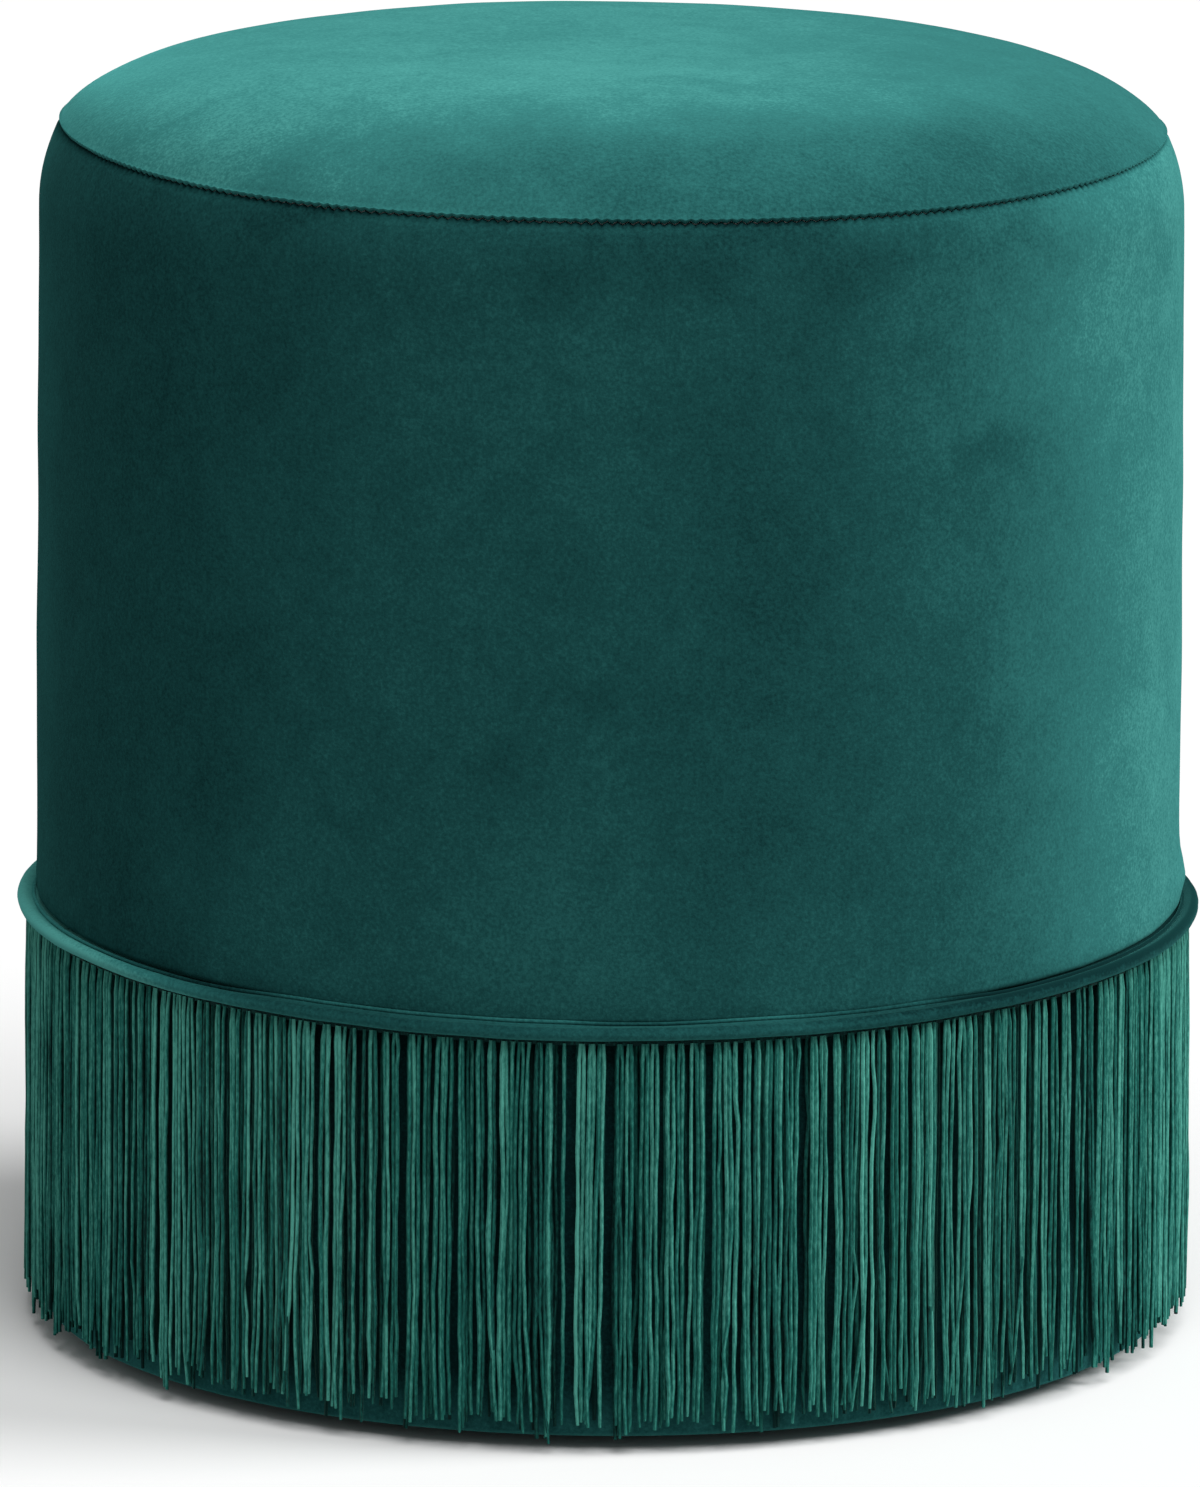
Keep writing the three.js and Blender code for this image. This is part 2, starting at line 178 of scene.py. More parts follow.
# Band
BAND_ROUND = 2.6 * MM  # of its turn under the base
BAND_UNDER = 34 * MM
BAND_SLACK = [(0.25 * MM, 30 * MM, 11.0)]
BAND_SLACK_FADES = (20 * MM, 10 * MM)  # at its foot and at its top
PLEAT_COUNT = 96
PLEAT_STEPS = 6  # from one pleat to the next
PLEAT_DEPTH = 0.22 * MM
PLEAT_DRIFT = [(2, 20 * MM, 10.0)]
PLEAT_FADE = 10 * MM
PLEAT_SPREAD = 4 * MM
BAND_LIGHT = 0.5  # painted light: how much lighter the band is below the tips of the strands, out of their shade
BAND_LIGHT_LOW = 5 * MM  # over its foot
BAND_LIGHT_FADE = 14 * MM
BAND_FOLD_LIGHT = 0.5  # and a painted highlight on its folded hem
BAND_FOLD_FADE = 2 * MM

# Padding
FOAM_WAVES = [(0.3 * MM, 30 * MM, 12.0)]
FOAM_WAVE_FADE = 10 * MM
WADDING = 6 * MM
FOAM_SLIT = 0.8 * MM

# Fringe
STRAND_ROUND = 0.66 * MM
STRAND_ROUND_SHARES = (0.82, 1.12)
STRAND_SIDES = 5
STRAND_PARTS = 14
STRAND_CROWDING = 1.2  # how much closer the points of a strand lie at its top, as a power
STRAND_END = 0.85  # its round at the tip, as a share
KNOTS = 0.3  # how much its round varies, as a share
KNOT_PATTERN = (40, 9, 0)  # bumps round the fringe and along a strand, and a seed
STRAND_WIDTH = 1.38 * MM  # what each strand adds to the width of its bundle
STRAND_SPACING = 1.42 * MM
SPACING_SPREAD = 0.16 * MM
PAIR_PULL = 0.325 * MM  # each pair comes out of one place of the tape, and parts under it
PAIR_PARTS = (0.02, 0.05)  # shares of the length
BUNDLE_DRIFT = 0.35 * MM
BUNDLE_DRIFT_TURN = 1.3 * math.pi  # radians from the tape to the tip, as the turns below
BUNDLE_PINCH = (-0.15, 0.25)  # how much closer its strands hang at their tips, as a share
SWAY = (0.1 * MM, 0.4 * MM)
SWAY_TURN = 11
SWAY_EASE = 3  # it sways in full from a third of its length on
CURL = 0.22 * MM
CURL_TURN = 31
CURL_OUT = 0.3 * MM
CURL_OUT_TURN = 8
STRAY_CHANCE = 0.14
STRAY = 2.4 * MM
STRAY_POWER = 5
KINK_CHANCE = 0.16
KINK = (0.5 * MM, 1.2 * MM)
KINK_PLACES = (0.04, 0.95)  # shares of the length
KINK_SPREAD = 0.05
ROW_DEPTH = 0.45 * MM  # how far it stands before or behind its row
ROW_DEPTH_EASE = 4  # in full from a quarter of its length on
HEM_FLARE = 0.9 * MM
TIP_HEIGHT = 9.7 * MM
TIP_LOWEST = 3.5 * MM
TIP_SPREAD = 1.3 * MM
BUNDLE_TONE = 0.07
STRAND_TONE = 0.17
MOTTLE_TONE = 0.2
MOTTLE_PATTERN = (60, 5, 7)
OUTWARD_TONE = 0.42  # painted light and shade: how much paler a strand is on its outward side, and darker on its inner side where its neighbours shade it
OUTWARD_TONE_SHARE = 0.42  # share of its round, outwards, where it has its own tone
TIP_TONE = 0.1  # how much darker it is at its tip
FIRST_GAP = (0.2 * MM, 0.8 * MM)
FRINGE_SEED = 31
FRONT_ROW = BAND_RADIUS + 4.1 * MM
BACK_ROW = BAND_RADIUS + 1.5 * MM
# A row's radius, the gaps between its bundles, how many strands one may have, its tone and how
# much the tips of its bundles stray
Row = namedtuple("Row", "radius gaps counts tone tips")
FRONT_HANG = Row(FRONT_ROW, (0.4 * MM, 3.4 * MM), (1, 2, 2, 3, 3, 4), 0.5, 1.8 * MM)
# The back row's lower tone is painted shade behind the front row
BACK_HANG = Row(BACK_ROW, (2.0 * MM, 6.0 * MM), (1, 2, 2), 0.14, 2.4 * MM)
HEADER_THICKNESS = 1.2 * MM
HEADER_REACH = FRONT_ROW - 0.4 * MM
HEADER_STEPS = 48
HEADER_BEND = 0.012  # share of its length over which a strand turns down to its row

# Base cloth and staples
CLOTH_THICKNESS = 0.45 * MM
CLOTH_STEPS = 6  # from one staple to the next
CLOTH_SLACK = [(0.5 * MM, 60 * MM, 13.0)]
CLOTH_SLACK_START = 95 * MM  # it fades out from this radius on
CLOTH_SLACK_FADE = 30 * MM
STAPLE_COUNT = 44
STAPLE_PLACE = CLOTH_RADIUS - 6 * MM
STAPLE_LENGTH = 10 * MM
STAPLE_WIRE = 0.7 * MM
STAPLE_PULL = 0.18 * MM
STAPLE_PULL_START = 90 * MM
STAPLE_PULL_FADE = 60 * MM

# Floor, light and camera
FLOOR_SIZE = 60.0
FLOOR_SEEN = 1.0  # what the camera sees
FLOOR_LIT = 0.35  # what lights the stool from below
FLOOR_ROUGHNESS = 0.9
WORLD_LIGHT = 0.22
CAMERA_PLACE = (-0.0027, -3.1073, 0.8154)
CAMERA_TILT = math.radians(90 - 11.607)
CAMERA_ROLL = 0.0055
CAMERA_LENS = 249.4
CAMERA_SENSOR = 36
CAMERA_END = 100


# Modelling

def start_clean():
    bpy.ops.object.select_all(action="DESELECT")


def draw_outline(points):
    """Draws a line of (radius, height) points in the XZ plane by extruding a single point."""
    start_clean()
    bpy.ops.mesh.primitive_plane_add(size=MM)
    piece = bpy.context.object
    bpy.ops.object.mode_set(mode="EDIT")
    bpy.ops.mesh.merge(type="CENTER")
    bpy.ops.transform.translate(value=(points[0][0], 0, points[0][1]))
    for (radius, height), (next_radius, next_height) in zip(points, points[1:]):
        step = (next_radius - radius, 0, next_height - height)
        bpy.ops.mesh.extrude_region_move(TRANSFORM_OT_translate={"value": step})
    return piece


def turn_outline(name, points, steps, sweep=math.tau, start=0.0):
    """Turns an outline about the drum's axis. It is a ring, or it starts and ends on the axis."""
    on_axis = points[0][0] == 0
    piece = draw_outline(points if on_axis else [*points, points[0]])
    bpy.ops.mesh.select_all(action="SELECT")
    bpy.ops.mesh.remove_doubles(threshold=MM / 1000)
    bpy.ops.object.mode_set(mode="OBJECT")
    turned = piece.modifiers.new("turned", "SCREW")
    turned.angle = sweep
    turned.steps = turned.render_steps = steps
    turned.use_merge_vertices = True
    turned.merge_threshold = MM / 1000
    bpy.ops.object.modifier_apply(modifier=turned.name)
    bpy.ops.object.mode_set(mode="EDIT")
    bpy.ops.mesh.select_all(action="SELECT")
    bpy.ops.mesh.remove_doubles(threshold=MM / 1000)
    if sweep < math.tau:
        bpy.ops.mesh.select_all(action="DESELECT")
        bpy.ops.mesh.select_non_manifold()
        bpy.ops.mesh.edge_face_add()
        bpy.ops.mesh.select_all(action="SELECT")
    bpy.ops.mesh.normals_make_consistent(inside=False)
    bpy.ops.object.mode_set(mode="OBJECT")
    piece.name = piece.data.name = name
    piece.data.transform(Matrix.Rotation(start, 4, "Z"))
    return piece


def move_points(piece, mover):
    """Moves each point of a piece as by hand with a sculpting brush."""
    for vertex in piece.data.vertices:
        vertex.co = mover(vertex.co.copy())
    piece.data.update()


def paint_light_and_shade(piece, change):
    """Stores at each point of a piece of velvet how much lighter or darker it is painted, mostly
    painted light and shade.
    """
    values = piece.data.attributes.new("brushed", "FLOAT", "POINT").data
    for vertex, value in zip(piece.data.vertices, values):
        value.value = change(vertex.co)


def shade(piece, degrees=50):
    """Smooths a piece, but for its edges that are sharper than an angle."""
    start_clean()
    piece.select_set(True)
    bpy.context.view_layer.objects.active = piece
    bpy.ops.object.shade_smooth_by_angle(angle=math.radians(degrees))


def copy_of(piece, transform):
    made = piece.copy()
    made.data = piece.data.copy()
    made.data.transform(transform)
    bpy.context.scene.collection.objects.link(made)
    return made


def join(name, parts):
    start_clean()
    for part in parts:
        part.select_set(True)
    bpy.context.view_layer.objects.active = parts[0]
    bpy.ops.object.join()
    joined = bpy.context.object
    joined.name = joined.data.name = name
    return joined


def dress(piece, material, slot, *nodes):
    """Gives a piece its finish, and the CAD nodes that it stands for."""
    piece.data.materials.clear()
    piece.data.materials.append(material)
    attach(piece, "root")
    if nodes:
        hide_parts(*nodes)
    return piece


def arc(centre, radius, first, last, steps):
    """Points on part of a circle, with its angles in degrees."""
    turns = [math.radians(first + (last - first) * i / steps) for i in range(steps + 1)]
    return [(centre[0] + radius * math.cos(a), centre[1] + radius * math.sin(a)) for a in turns]


def line_between(first, last, steps):
    """Points along a straight line, without its last one."""
    shares = [i / steps for i in range(steps)]
    return [(blend(first[0], last[0], s), blend(first[1], last[1], s)) for s in shares]


def blend(first, last, share):
    return first + (last - first) * share


def ease(share):
    """A share held between 0 and 1, with soft ends."""
    share = min(1.0, max(0.0, share))
    return share * share * (3 - 2 * share)


def hump(distance, width):
    """1 at no distance, about a third at the width, and nothing far away."""
    return math.exp(-((distance / width) ** 2))


def waves(place, layers):
    """The sum at a place of smooth random waves, each with its height, its size and its seed."""
    total = 0
    for height, size, seed in layers:
        total += height * noise.noise(place / size + seed * Vector((1, 2, 3)))
    return total


def polar(turn, radius, height):
    """A point at an angle in radians, turned anticlockwise from the right."""
    return Vector((radius * math.cos(turn), radius * math.sin(turn), height))


# Materials

# Numbers of the sockets of a Mix node that mixes colours
MIX_SHARE = 0
MIX_FIRST = 6
MIX_SECOND = 7
MIX_RESULT = 2


class Socket:
    """A value inside a material. A sum on it adds a Math node."""

    def __init__(self, paint, output):
        self.paint = paint
        self.output = output

    def sum(self, operation, first, second):
        return self.paint.node("ShaderNodeMath", {"operation": operation}, {0: first, 1: second})

    def __add__(self, other):
        return self.sum("ADD", self, other)

    def __sub__(self, other):
        return self.sum("SUBTRACT", self, other)

    def __rsub__(self, other):
        return self.sum("SUBTRACT", other, self)

    def __mul__(self, other):
        return self.sum("MULTIPLY", self, other)

    __radd__ = __add__
    __rmul__ = __mul__


class Paint:
    """A material or a world that is built up node by node."""

    def __init__(self, name, kind=bpy.data.materials):
        self.owner = kind.new(name)
        self.owner.use_nodes = True
        self.tree = self.owner.node_tree
        self.tree.nodes.clear()
        self.place = self.node("ShaderNodeTexCoord", output="Object")

    def node(self, kind, settings=None, inputs=None, output=0):
        made = self.tree.nodes.new(kind)
        for setting, value in (settings or {}).items():
            setattr(made, setting, value)
        for socket, value in (inputs or {}).items():
            if isinstance(value, Socket):
                self.tree.links.new(value.output, made.inputs[socket])
            else:
                made.inputs[socket].default_value = value
        return Socket(self, made.outputs[output]) if made.outputs else None

    def noise(self, size, detail=2.0, roughness=0.5, distortion=0.0, place=None):
        """Noise from 0 to 1 whose blotches are about the size given."""
        inputs = {
            "Vector": place or self.place,
            "Scale": 1 / size,
            "Detail": detail,
            "Roughness": roughness,
            "Distortion": distortion,
        }
        return self.node("ShaderNodeTexNoise", {}, inputs, "Fac")

    def stretched(self, scale):
        """Object coordinates scaled unevenly, for grain and streaks."""
        return self.node("ShaderNodeMapping", {}, {"Vector": self.place, "Scale": scale})

    def vector(self, operation, first, second=(0, 0, 0), output=0):
        settings = {"operation": operation}
        return self.node("ShaderNodeVectorMath", settings, {0: first, 1: second}, output)

    def remap(self, value, low, high, to_low=0.0, to_high=1.0):
        """Moves a range of a value to another range, with soft ends."""
        inputs = {"Value": value, "From Min": low, "From Max": high}
        inputs.update({"To Min": to_low, "To Max": to_high})
        return self.node("ShaderNodeMapRange", {"interpolation_type": "SMOOTHSTEP"}, inputs)

    def mix(self, share, first, second):
        """Two colours mixed, from the first at share 0 to the second at share 1."""
        inputs = {MIX_SHARE: share, MIX_FIRST: first, MIX_SECOND: second}
        return self.node("ShaderNodeMix", {"data_type": "RGBA"}, inputs, MIX_RESULT)

    def bump(self, height, distance, strength=1.0):
        inputs = {"Height": height, "Distance": distance, "Strength": strength}
        return self.node("ShaderNodeBump", {}, inputs)

    def surface(self, color, roughness, **others):
        inputs = {"Base Color": color, "Roughness": roughness}
        inputs.update({name.replace("_", " "): value for name, value in others.items()})
        shader = self.node("ShaderNodeBsdfPrincipled", {}, inputs)
        self.node("ShaderNodeOutputMaterial", {}, {"Surface": shader})
        return self.owner


def rgb(red, green, blue):
    """A colour from 0 to 255, as linear light."""
    shares = [channel / 255 for channel in (red, green, blue)]
    linear = [s / 12.92 if s <= 0.04045 else ((s + 0.055) / 1.055) ** 2.4 for s in shares]
    return (*linear, 1.0)


DEEP_TEAL = rgb(12, 42, 43)
MID_TEAL = rgb(33, 87, 86)
PALE_TEAL = rgb(55, 127, 124)
BRIGHT_TEAL = rgb(96, 184, 176)
SHEEN_TEAL = rgb(112, 222, 216)
VELVET_ROUGHNESS = 0.8
SHEEN_ROUGHNESS = 0.42
DRIFT_SCALE = 28.0  # the outlines of the marks, nap blotches and painted light and shade alike, wander by this pattern
DRIFT_REACH = 0.05


def velvet(name, marks=(), tone=0.5, left=(0.0, 0.2), right=(0.0, 0.3), sheen=0.3):
    """Velvet with a cloudy nap. Its shade runs from 0, deep, over 1, pale, to 1.5, bright.

    The far left and the far right are painted light and shade: by how much the shade changes there,
    and from which share of the radius on. Each mark is a place: its middle, its reach along X, Y and
    Z and its shade; some are blotches of the nap and some are painted light and shade. A piece may
    hold painted light and shade of its own, in its attribute "brushed".
    """
    paint = Paint(name)
    clouds = paint.noise(95 * MM, detail=2, distortion=0.4)
    strokes = paint.noise(26 * MM, detail=4, roughness=0.6, distortion=0.8)
    mottle = paint.noise(4.5 * MM, detail=2, roughness=0.6)
    pile = paint.noise(1.1 * MM, detail=3, roughness=0.7)
    nap = tone + (clouds - 0.5) * 0.2 + (strokes - 0.5) * 0.3
    nap = nap + (mottle - 0.5) * 0.2 + (pile - 0.5) * 0.8
    # Painted light and shade join the random nap here: the far left and far right, the attribute
    # "brushed" and some marks
    across = paint.node("ShaderNodeSeparateXYZ", {}, {"Vector": paint.place}, "X")
    nap = nap + paint.remap(across, -SLEEVE_RADIUS, -left[1] * SLEEVE_RADIUS, left[0], 0.0)
    nap = nap + paint.remap(across, right[1] * SLEEVE_RADIUS, SLEEVE_RADIUS, 0.0, right[0])
    nap = nap + paint.node("ShaderNodeAttribute", {"attribute_name": "brushed"}, {}, "Fac")
    pattern = {"Vector": paint.place, "Scale": DRIFT_SCALE, "Detail": 3.0}
    drift = paint.node("ShaderNodeTexNoise", {}, pattern, "Color")
    drift = paint.vector("SUBTRACT", drift, (0.5, 0.5, 0.5))
    warp = paint.vector("MULTIPLY", drift, (DRIFT_REACH, DRIFT_REACH, DRIFT_REACH))
    warped = paint.vector("ADD", paint.place, warp)
    for middle, reach, strength in marks:
        offset = paint.vector("DIVIDE", paint.vector("SUBTRACT", warped, middle), reach)
        gap = paint.vector("LENGTH", offset, output="Value")
        nap = nap + paint.remap(gap, 0.0, 1.0, strength, 0.0)
    color = paint.mix(nap * 2, DEEP_TEAL, MID_TEAL)
    color = paint.mix((nap - 0.5) * 2, color, PALE_TEAL)
    color = paint.mix((nap - 1.0) * 2, color, BRIGHT_TEAL)
    return paint.surface(
        color,
        VELVET_ROUGHNESS,
        Normal=paint.bump(pile, 0.25 * MM, 0.5),
        Sheen_Weight=sheen,
        Sheen_Roughness=SHEEN_ROUGHNESS,
        Sheen_Tint=SHEEN_TEAL,
        Specular_IOR_Level=0.0,
    )


def on_sleeve(turn_degrees, height, across, up, strength):
    """A mark on the sleeve, at an angle to the right of the front."""
    middle = polar(math.radians(turn_degrees - 90), SLEEVE_RADIUS, height)
    return (middle, (across, across, up), strength)


def on_seat(x, y, across, along, strength):
    """A mark on the seat, at a place to the right of its middle and behind it."""
    return (Vector((x, y, CROWN_BASE + CROWN_RISE)), (across, along, 3 * CROWN_RISE), strength)


# Marks on the sleeve: blotches of the nap, but for the painted shadow, highlight and sheen noted
# below
SLEEVE_MARKS = [
    on_sleeve(15, 250 * MM, 60 * MM, 150 * MM, -0.16),
    on_sleeve(14, 165 * MM, 60 * MM, 45 * MM, -0.1),
    on_sleeve(-38, 158 * MM, 70 * MM, 40 * MM, 0.12),
    # painted shadow under the fold of the seam of the seat, in this mark and the next two
    on_sleeve(12, 358 * MM, 120 * MM, 24 * MM, -0.22),
    on_sleeve(-20, 367 * MM, 72 * MM, 9 * MM, -0.3),
    on_sleeve(47, 351 * MM, 28 * MM, 12 * MM, -0.14),
    # painted sheen along the far left
    on_sleeve(-76, 250 * MM, 26 * MM, 130 * MM, 0.12),
    on_sleeve(39, 294 * MM, 20 * MM, 16 * MM, -0.2),
    on_sleeve(33, 190 * MM, 36 * MM, 60 * MM, -0.05),
    on_sleeve(-10, 203 * MM, 26 * MM, 14 * MM, -0.14),
    on_sleeve(-3, 222 * MM, 16 * MM, 18 * MM, -0.12),
    # painted highlight where the shoulder catches the light
    on_sleeve(46, 330 * MM, 90 * MM, 60 * MM, 0.14),
]
SEAT_MARKS = [
    # painted shade where the front of the crown slopes away from the light, near the seam
    on_seat(10 * MM, -176 * MM, 240 * MM, 80 * MM, -0.5),
    on_seat(0, -68 * MM, 150 * MM, 60 * MM, 0.08),
    on_seat(94 * MM, -118 * MM, 62 * MM, 42 * MM, -0.14),
    on_seat(40 * MM, -86 * MM, 36 * MM, 18 * MM, -0.12),
    on_seat(80 * MM, -66 * MM, 32 * MM, 9 * MM, -0.1),
    on_seat(-77 * MM, -104 * MM, 18 * MM, 14 * MM, -0.12),
    on_seat(-125 * MM, -80 * MM, 20 * MM, 7 * MM, -0.1),
]

# One velvet in four finishes, whose tones and far sides are painted light and shade: the seat is
# paler, as the top is lit, and a little darker at its far sides; the sleeve is darker on the left and
# paler on the right, as the lamps fall; the welt is paler on the left and darker on the right, as its
# sheen falls; and the band is darker, in the shade behind the fringe, and paler towards the far
# sides.
seat_velvet = velvet(
    "seat velvet", SEAT_MARKS, tone=1.1, left=(-0.1, 0.3), right=(-0.3, 0.1), sheen=0.6
)
sleeve_velvet = velvet(
    "sleeve velvet", SLEEVE_MARKS, tone=0.52, left=(-0.3, 0.2), right=(0.6, 0.53), sheen=0.15
)
welt_velvet = velvet("welt velvet", tone=0.5, left=(1.25, 0.55), right=(-0.42, 0.1))
band_velvet = velvet("band velvet", tone=0.04, left=(0.5, 0.55), right=(0.25, 0.7))


def fringe_yarn():
    """Green rayon yarn: each strand has its own tone, with painted light and shade across it, and the
    twist shows along it.
    """
    paint = Paint("fringe yarn")
    tone = paint.node("ShaderNodeAttribute", {"attribute_name": "tone"}, {}, "Fac")
    fibre = paint.noise(0.8 * MM, detail=3, roughness=0.7, place=paint.stretched((1, 1, 0.3)))
    length = paint.noise(22 * MM, detail=2)
    share = tone + (fibre - 0.5) * 1.2 + (length - 0.5) * 0.3
    dark, mid, pale = rgb(10, 43, 42), rgb(36, 113, 103), rgb(100, 191, 174)
    color = paint.mix(share * 2, dark, mid)
    color = paint.mix((share - 0.5) * 1.7, color, pale)
    return paint.surface(
        color,
        0.5,
        Normal=paint.bump(fibre, 0.3 * MM, 0.7),
        Specular_IOR_Level=0.05,
        Sheen_Weight=0.2,
        Sheen_Roughness=0.4,
        Sheen_Tint=rgb(140, 230, 200),
    )


def thread():
    """Dark sewing thread."""
    paint = Paint("sewing thread")
    twist = paint.noise(0.6 * MM, detail=2)
    color = paint.mix(twist, rgb(5, 26, 26), rgb(12, 48, 46))
    return paint.surface(color, 0.8, Normal=paint.bump(twist, 0.1 * MM), Specular_IOR_Level=0.05)


WELD_SCALE = 420.0  # weld points to a metre


def black_cloth():
    """Non-woven cloth: pressed fibres with a faint grid of weld points."""
    paint = Paint("black base cloth")
    fibres = paint.noise(2.2 * MM, detail=5, roughness=0.75, distortion=1.5)
    grid = {"Vector": paint.place, "Scale": WELD_SCALE, "Randomness": 0.15}
    welds = paint.node("ShaderNodeTexVoronoi", {}, grid, "Distance")
    color = paint.mix(fibres, rgb(16, 17, 19), rgb(46, 47, 51))
    height = fibres + paint.remap(welds, 0.1, 0.5)
    return paint.surface(color, 0.92, Normal=paint.bump(height, 0.12 * MM))


def foam(name, first, second):
    """Foam or wadding with open cells or loose fibres."""
    paint = Paint(name)
    cells = paint.noise(1.6 * MM, detail=4, roughness=0.7)
    stain = paint.noise(60 * MM, detail=3)
    color = paint.mix(cells * 0.6 + stain * 0.4, first, second)
    return paint.surface(color, 0.95, Normal=paint.bump(cells, 0.5 * MM))


def cotton_cord():
    """Natural cotton, matt and fibrous."""
    paint = Paint("cotton cord")
    fibres = paint.noise(0.9 * MM, detail=3, roughness=0.7)
    color = paint.mix(fibres, rgb(196, 186, 164), rgb(236, 229, 212))
    return paint.surface(color, 0.9, Normal=paint.bump(fibres, 0.2 * MM))


def board(name, first, second, chip, depth):
    """Pressed board, mottled by its chips and fibres."""
    paint = Paint(name)
    chips = paint.noise(chip, detail=5, roughness=0.7)
    patches = paint.noise(45 * MM, detail=2)
    color = paint.mix(chips * 0.75 + patches * 0.25, first, second)
    roughness = paint.remap(chips, 0.2, 0.8, 0.65, 0.85)
    return paint.surface(color, roughness, Normal=paint.bump(chips, depth))


GRAIN_STRETCH = (1, 1, 0.06)
RING_STRETCH = (1, 1, 0.05)
SAW_STRETCH = (0.2, 0.2, 1)
RING_SCALE = 36.0


def pine():
    """Sawn pine with upright grain and saw marks."""
    paint = Paint("pine")
    upright = paint.stretched(GRAIN_STRETCH)
    grain = paint.noise(7 * MM, detail=4, roughness=0.6, distortion=0.6, place=upright)
    pattern = {"Vector": paint.stretched(RING_STRETCH), "Scale": RING_SCALE}
    pattern.update({"Distortion": 5.0, "Detail": 3.0})
    rings = paint.node("ShaderNodeTexWave", {"bands_direction": "X"}, pattern, "Fac")
    saw = paint.noise(1.2 * MM, detail=2, place=paint.stretched(SAW_STRETCH))
    color = paint.mix(grain * 0.5 + rings * 0.5, rgb(224, 190, 136), rgb(182, 132, 76))
    roughness = paint.remap(grain, 0.2, 0.8, 0.55, 0.75)
    return paint.surface(color, roughness, Normal=paint.bump(saw + rings, 0.08 * MM))


def zinc_steel():
    """Zinc-plated steel, lightly brushed."""
    paint = Paint("zinc steel")
    brushed = paint.noise(0.8 * MM, detail=4, roughness=0.7)
    color = paint.mix(brushed, rgb(176, 180, 186), rgb(214, 216, 220))
    roughness = paint.remap(brushed, 0.2, 0.8, 0.25, 0.45)
    return paint.surface(color, roughness, Metallic=1.0, Normal=paint.bump(brushed, 0.02 * MM))


def black_plastic():
    """Moulded black plastic, scuffed in places."""
    paint = Paint("black plastic")
    grain = paint.noise(0.7 * MM, detail=3)
    scuffs = paint.noise(6 * MM, detail=4, roughness=0.7)
    color = paint.mix(scuffs, rgb(18, 19, 20), rgb(40, 41, 43))
    roughness = paint.remap(scuffs, 0.3, 0.7, 0.4, 0.65)
    return paint.surface(color, roughness, Normal=paint.bump(grain, 0.03 * MM))


yarn = fringe_yarn()
stitch_thread = thread()
base_cloth = black_cloth()
seat_filling = foam("cream foam", rgb(226, 214, 182), rgb(247, 240, 218))
fluff = foam("white wadding", rgb(226, 226, 222), rgb(250, 250, 248))
cotton = cotton_cord()
fibreboard = board("fibreboard", rgb(150, 112, 72), rgb(190, 156, 112), 2.5 * MM, 0.1 * MM)
hardboard = board("hardboard", rgb(84, 54, 34), rgb(122, 84, 56), 3.5 * MM, 0.15 * MM)
pine_wood = pine()
steel = zinc_steel()
plastic = black_plastic()

FRAME_FINISHES = {
    "top_board": fibreboard,
    "base_ring": fibreboard,
    "wall_wrap": hardboard,
    "post": pine_wood,
    "top_screw": steel,
    "base_screw": steel,
    "glide_nail": steel,
    "glide": plastic,
}


def finish_frame():
    """Gives each rigid node of the frame its finish, by the start of its name."""
    for name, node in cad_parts.items():
        kinds = [kind for kind in FRAME_FINISHES if name.startswith(kind)]
        if kinds:
            material = FRAME_FINISHES[max(kinds, key=len)]
            for place in node.material_slots:
                place.material = material


# Covers

def crown_height(share, rise):
    """Height of the seat over its rim, at a share of its radius."""
    return rise * (1 - share ** CROWN_SIDE_POWER) ** (1 / CROWN_TOP_POWER)


def crown_line(inset, steps, lip=0.0):
    """The seat's line from the rim to the middle, drawn in by an inset, from a lip's height up."""
    radius = SEAM_RADIUS - inset
    shares = [1 - (i / steps) ** CROWN_CROWDING for i in range(steps + 1)]
    line = [(radius * s, CROWN_BASE + crown_height(s, CROWN_RISE - inset)) for s in shares]
    return [point for point in line if point[1] >= CROWN_BASE + lip]


def shoulder_line(inset, steps, lip=0.0):
    """The sleeve's line from its straight side up to the seam, moved inwards by an inset."""
    width = BODY_RADIUS - SEAM_RADIUS
    line = []
    for i in range(steps + 1):
        share = i / steps
        slope = width * SHOULDER_POWER * share ** (SHOULDER_POWER - 1) / SHOULDER_DROP
        radius = BODY_RADIUS - width * share ** SHOULDER_POWER
        height = SEAM_TOP - SHOULDER_DROP * (1 - share)
        length = math.hypot(1, slope)
        line.append((radius - inset / length, height - inset * slope / length))
    return [point for point in line if point[1] <= SEAM_TOP - lip]


def outward_from(point):
    """The level direction from the drum's axis to a point."""
    return Vector((point.x, point.y, 0)).normalized()


def lean(point):
    """Lowers the right side of the padded top and lifts its left side."""
    rise = ease((point.z - foam_low.z) / (SEAM_TOP - foam_low.z))
    return point - Vector((0, 0, SEAT_LEAN * point.x)) * rise


def follow_seam(point):
    """Slides the velvet near the seam of the seat along the padding, to where the seam strays."""
    turn = math.atan2(point.y, point.x) - FRONT
    stray = SEAM_LEVEL - SEAM_TILT * math.sin(turn)
    stray += SEAM_RIPPLE * math.cos(4 * turn) - SEAM_SADDLE * math.cos(2 * turn)
    stray *= hump(point.z - SEAM_TOP, SEAM_SPREAD)
    return lean(point + Vector((0, 0, stray)) - SEAM_SLOPE * stray * outward_from(point))


def pucker(point):
    """How each stitch draws the velvet near it towards the seam."""
    near = hump(point.z - SEAM_TOP, PUCKER_SPREAD)
    turn = math.atan2(point.y, point.x)
    pull = math.cos(turn * STITCH_COUNT) * (1 + waves(point, PUCKER_WAVES))
    return Vector((0, 0, SEAM_PUCKER * near * pull))


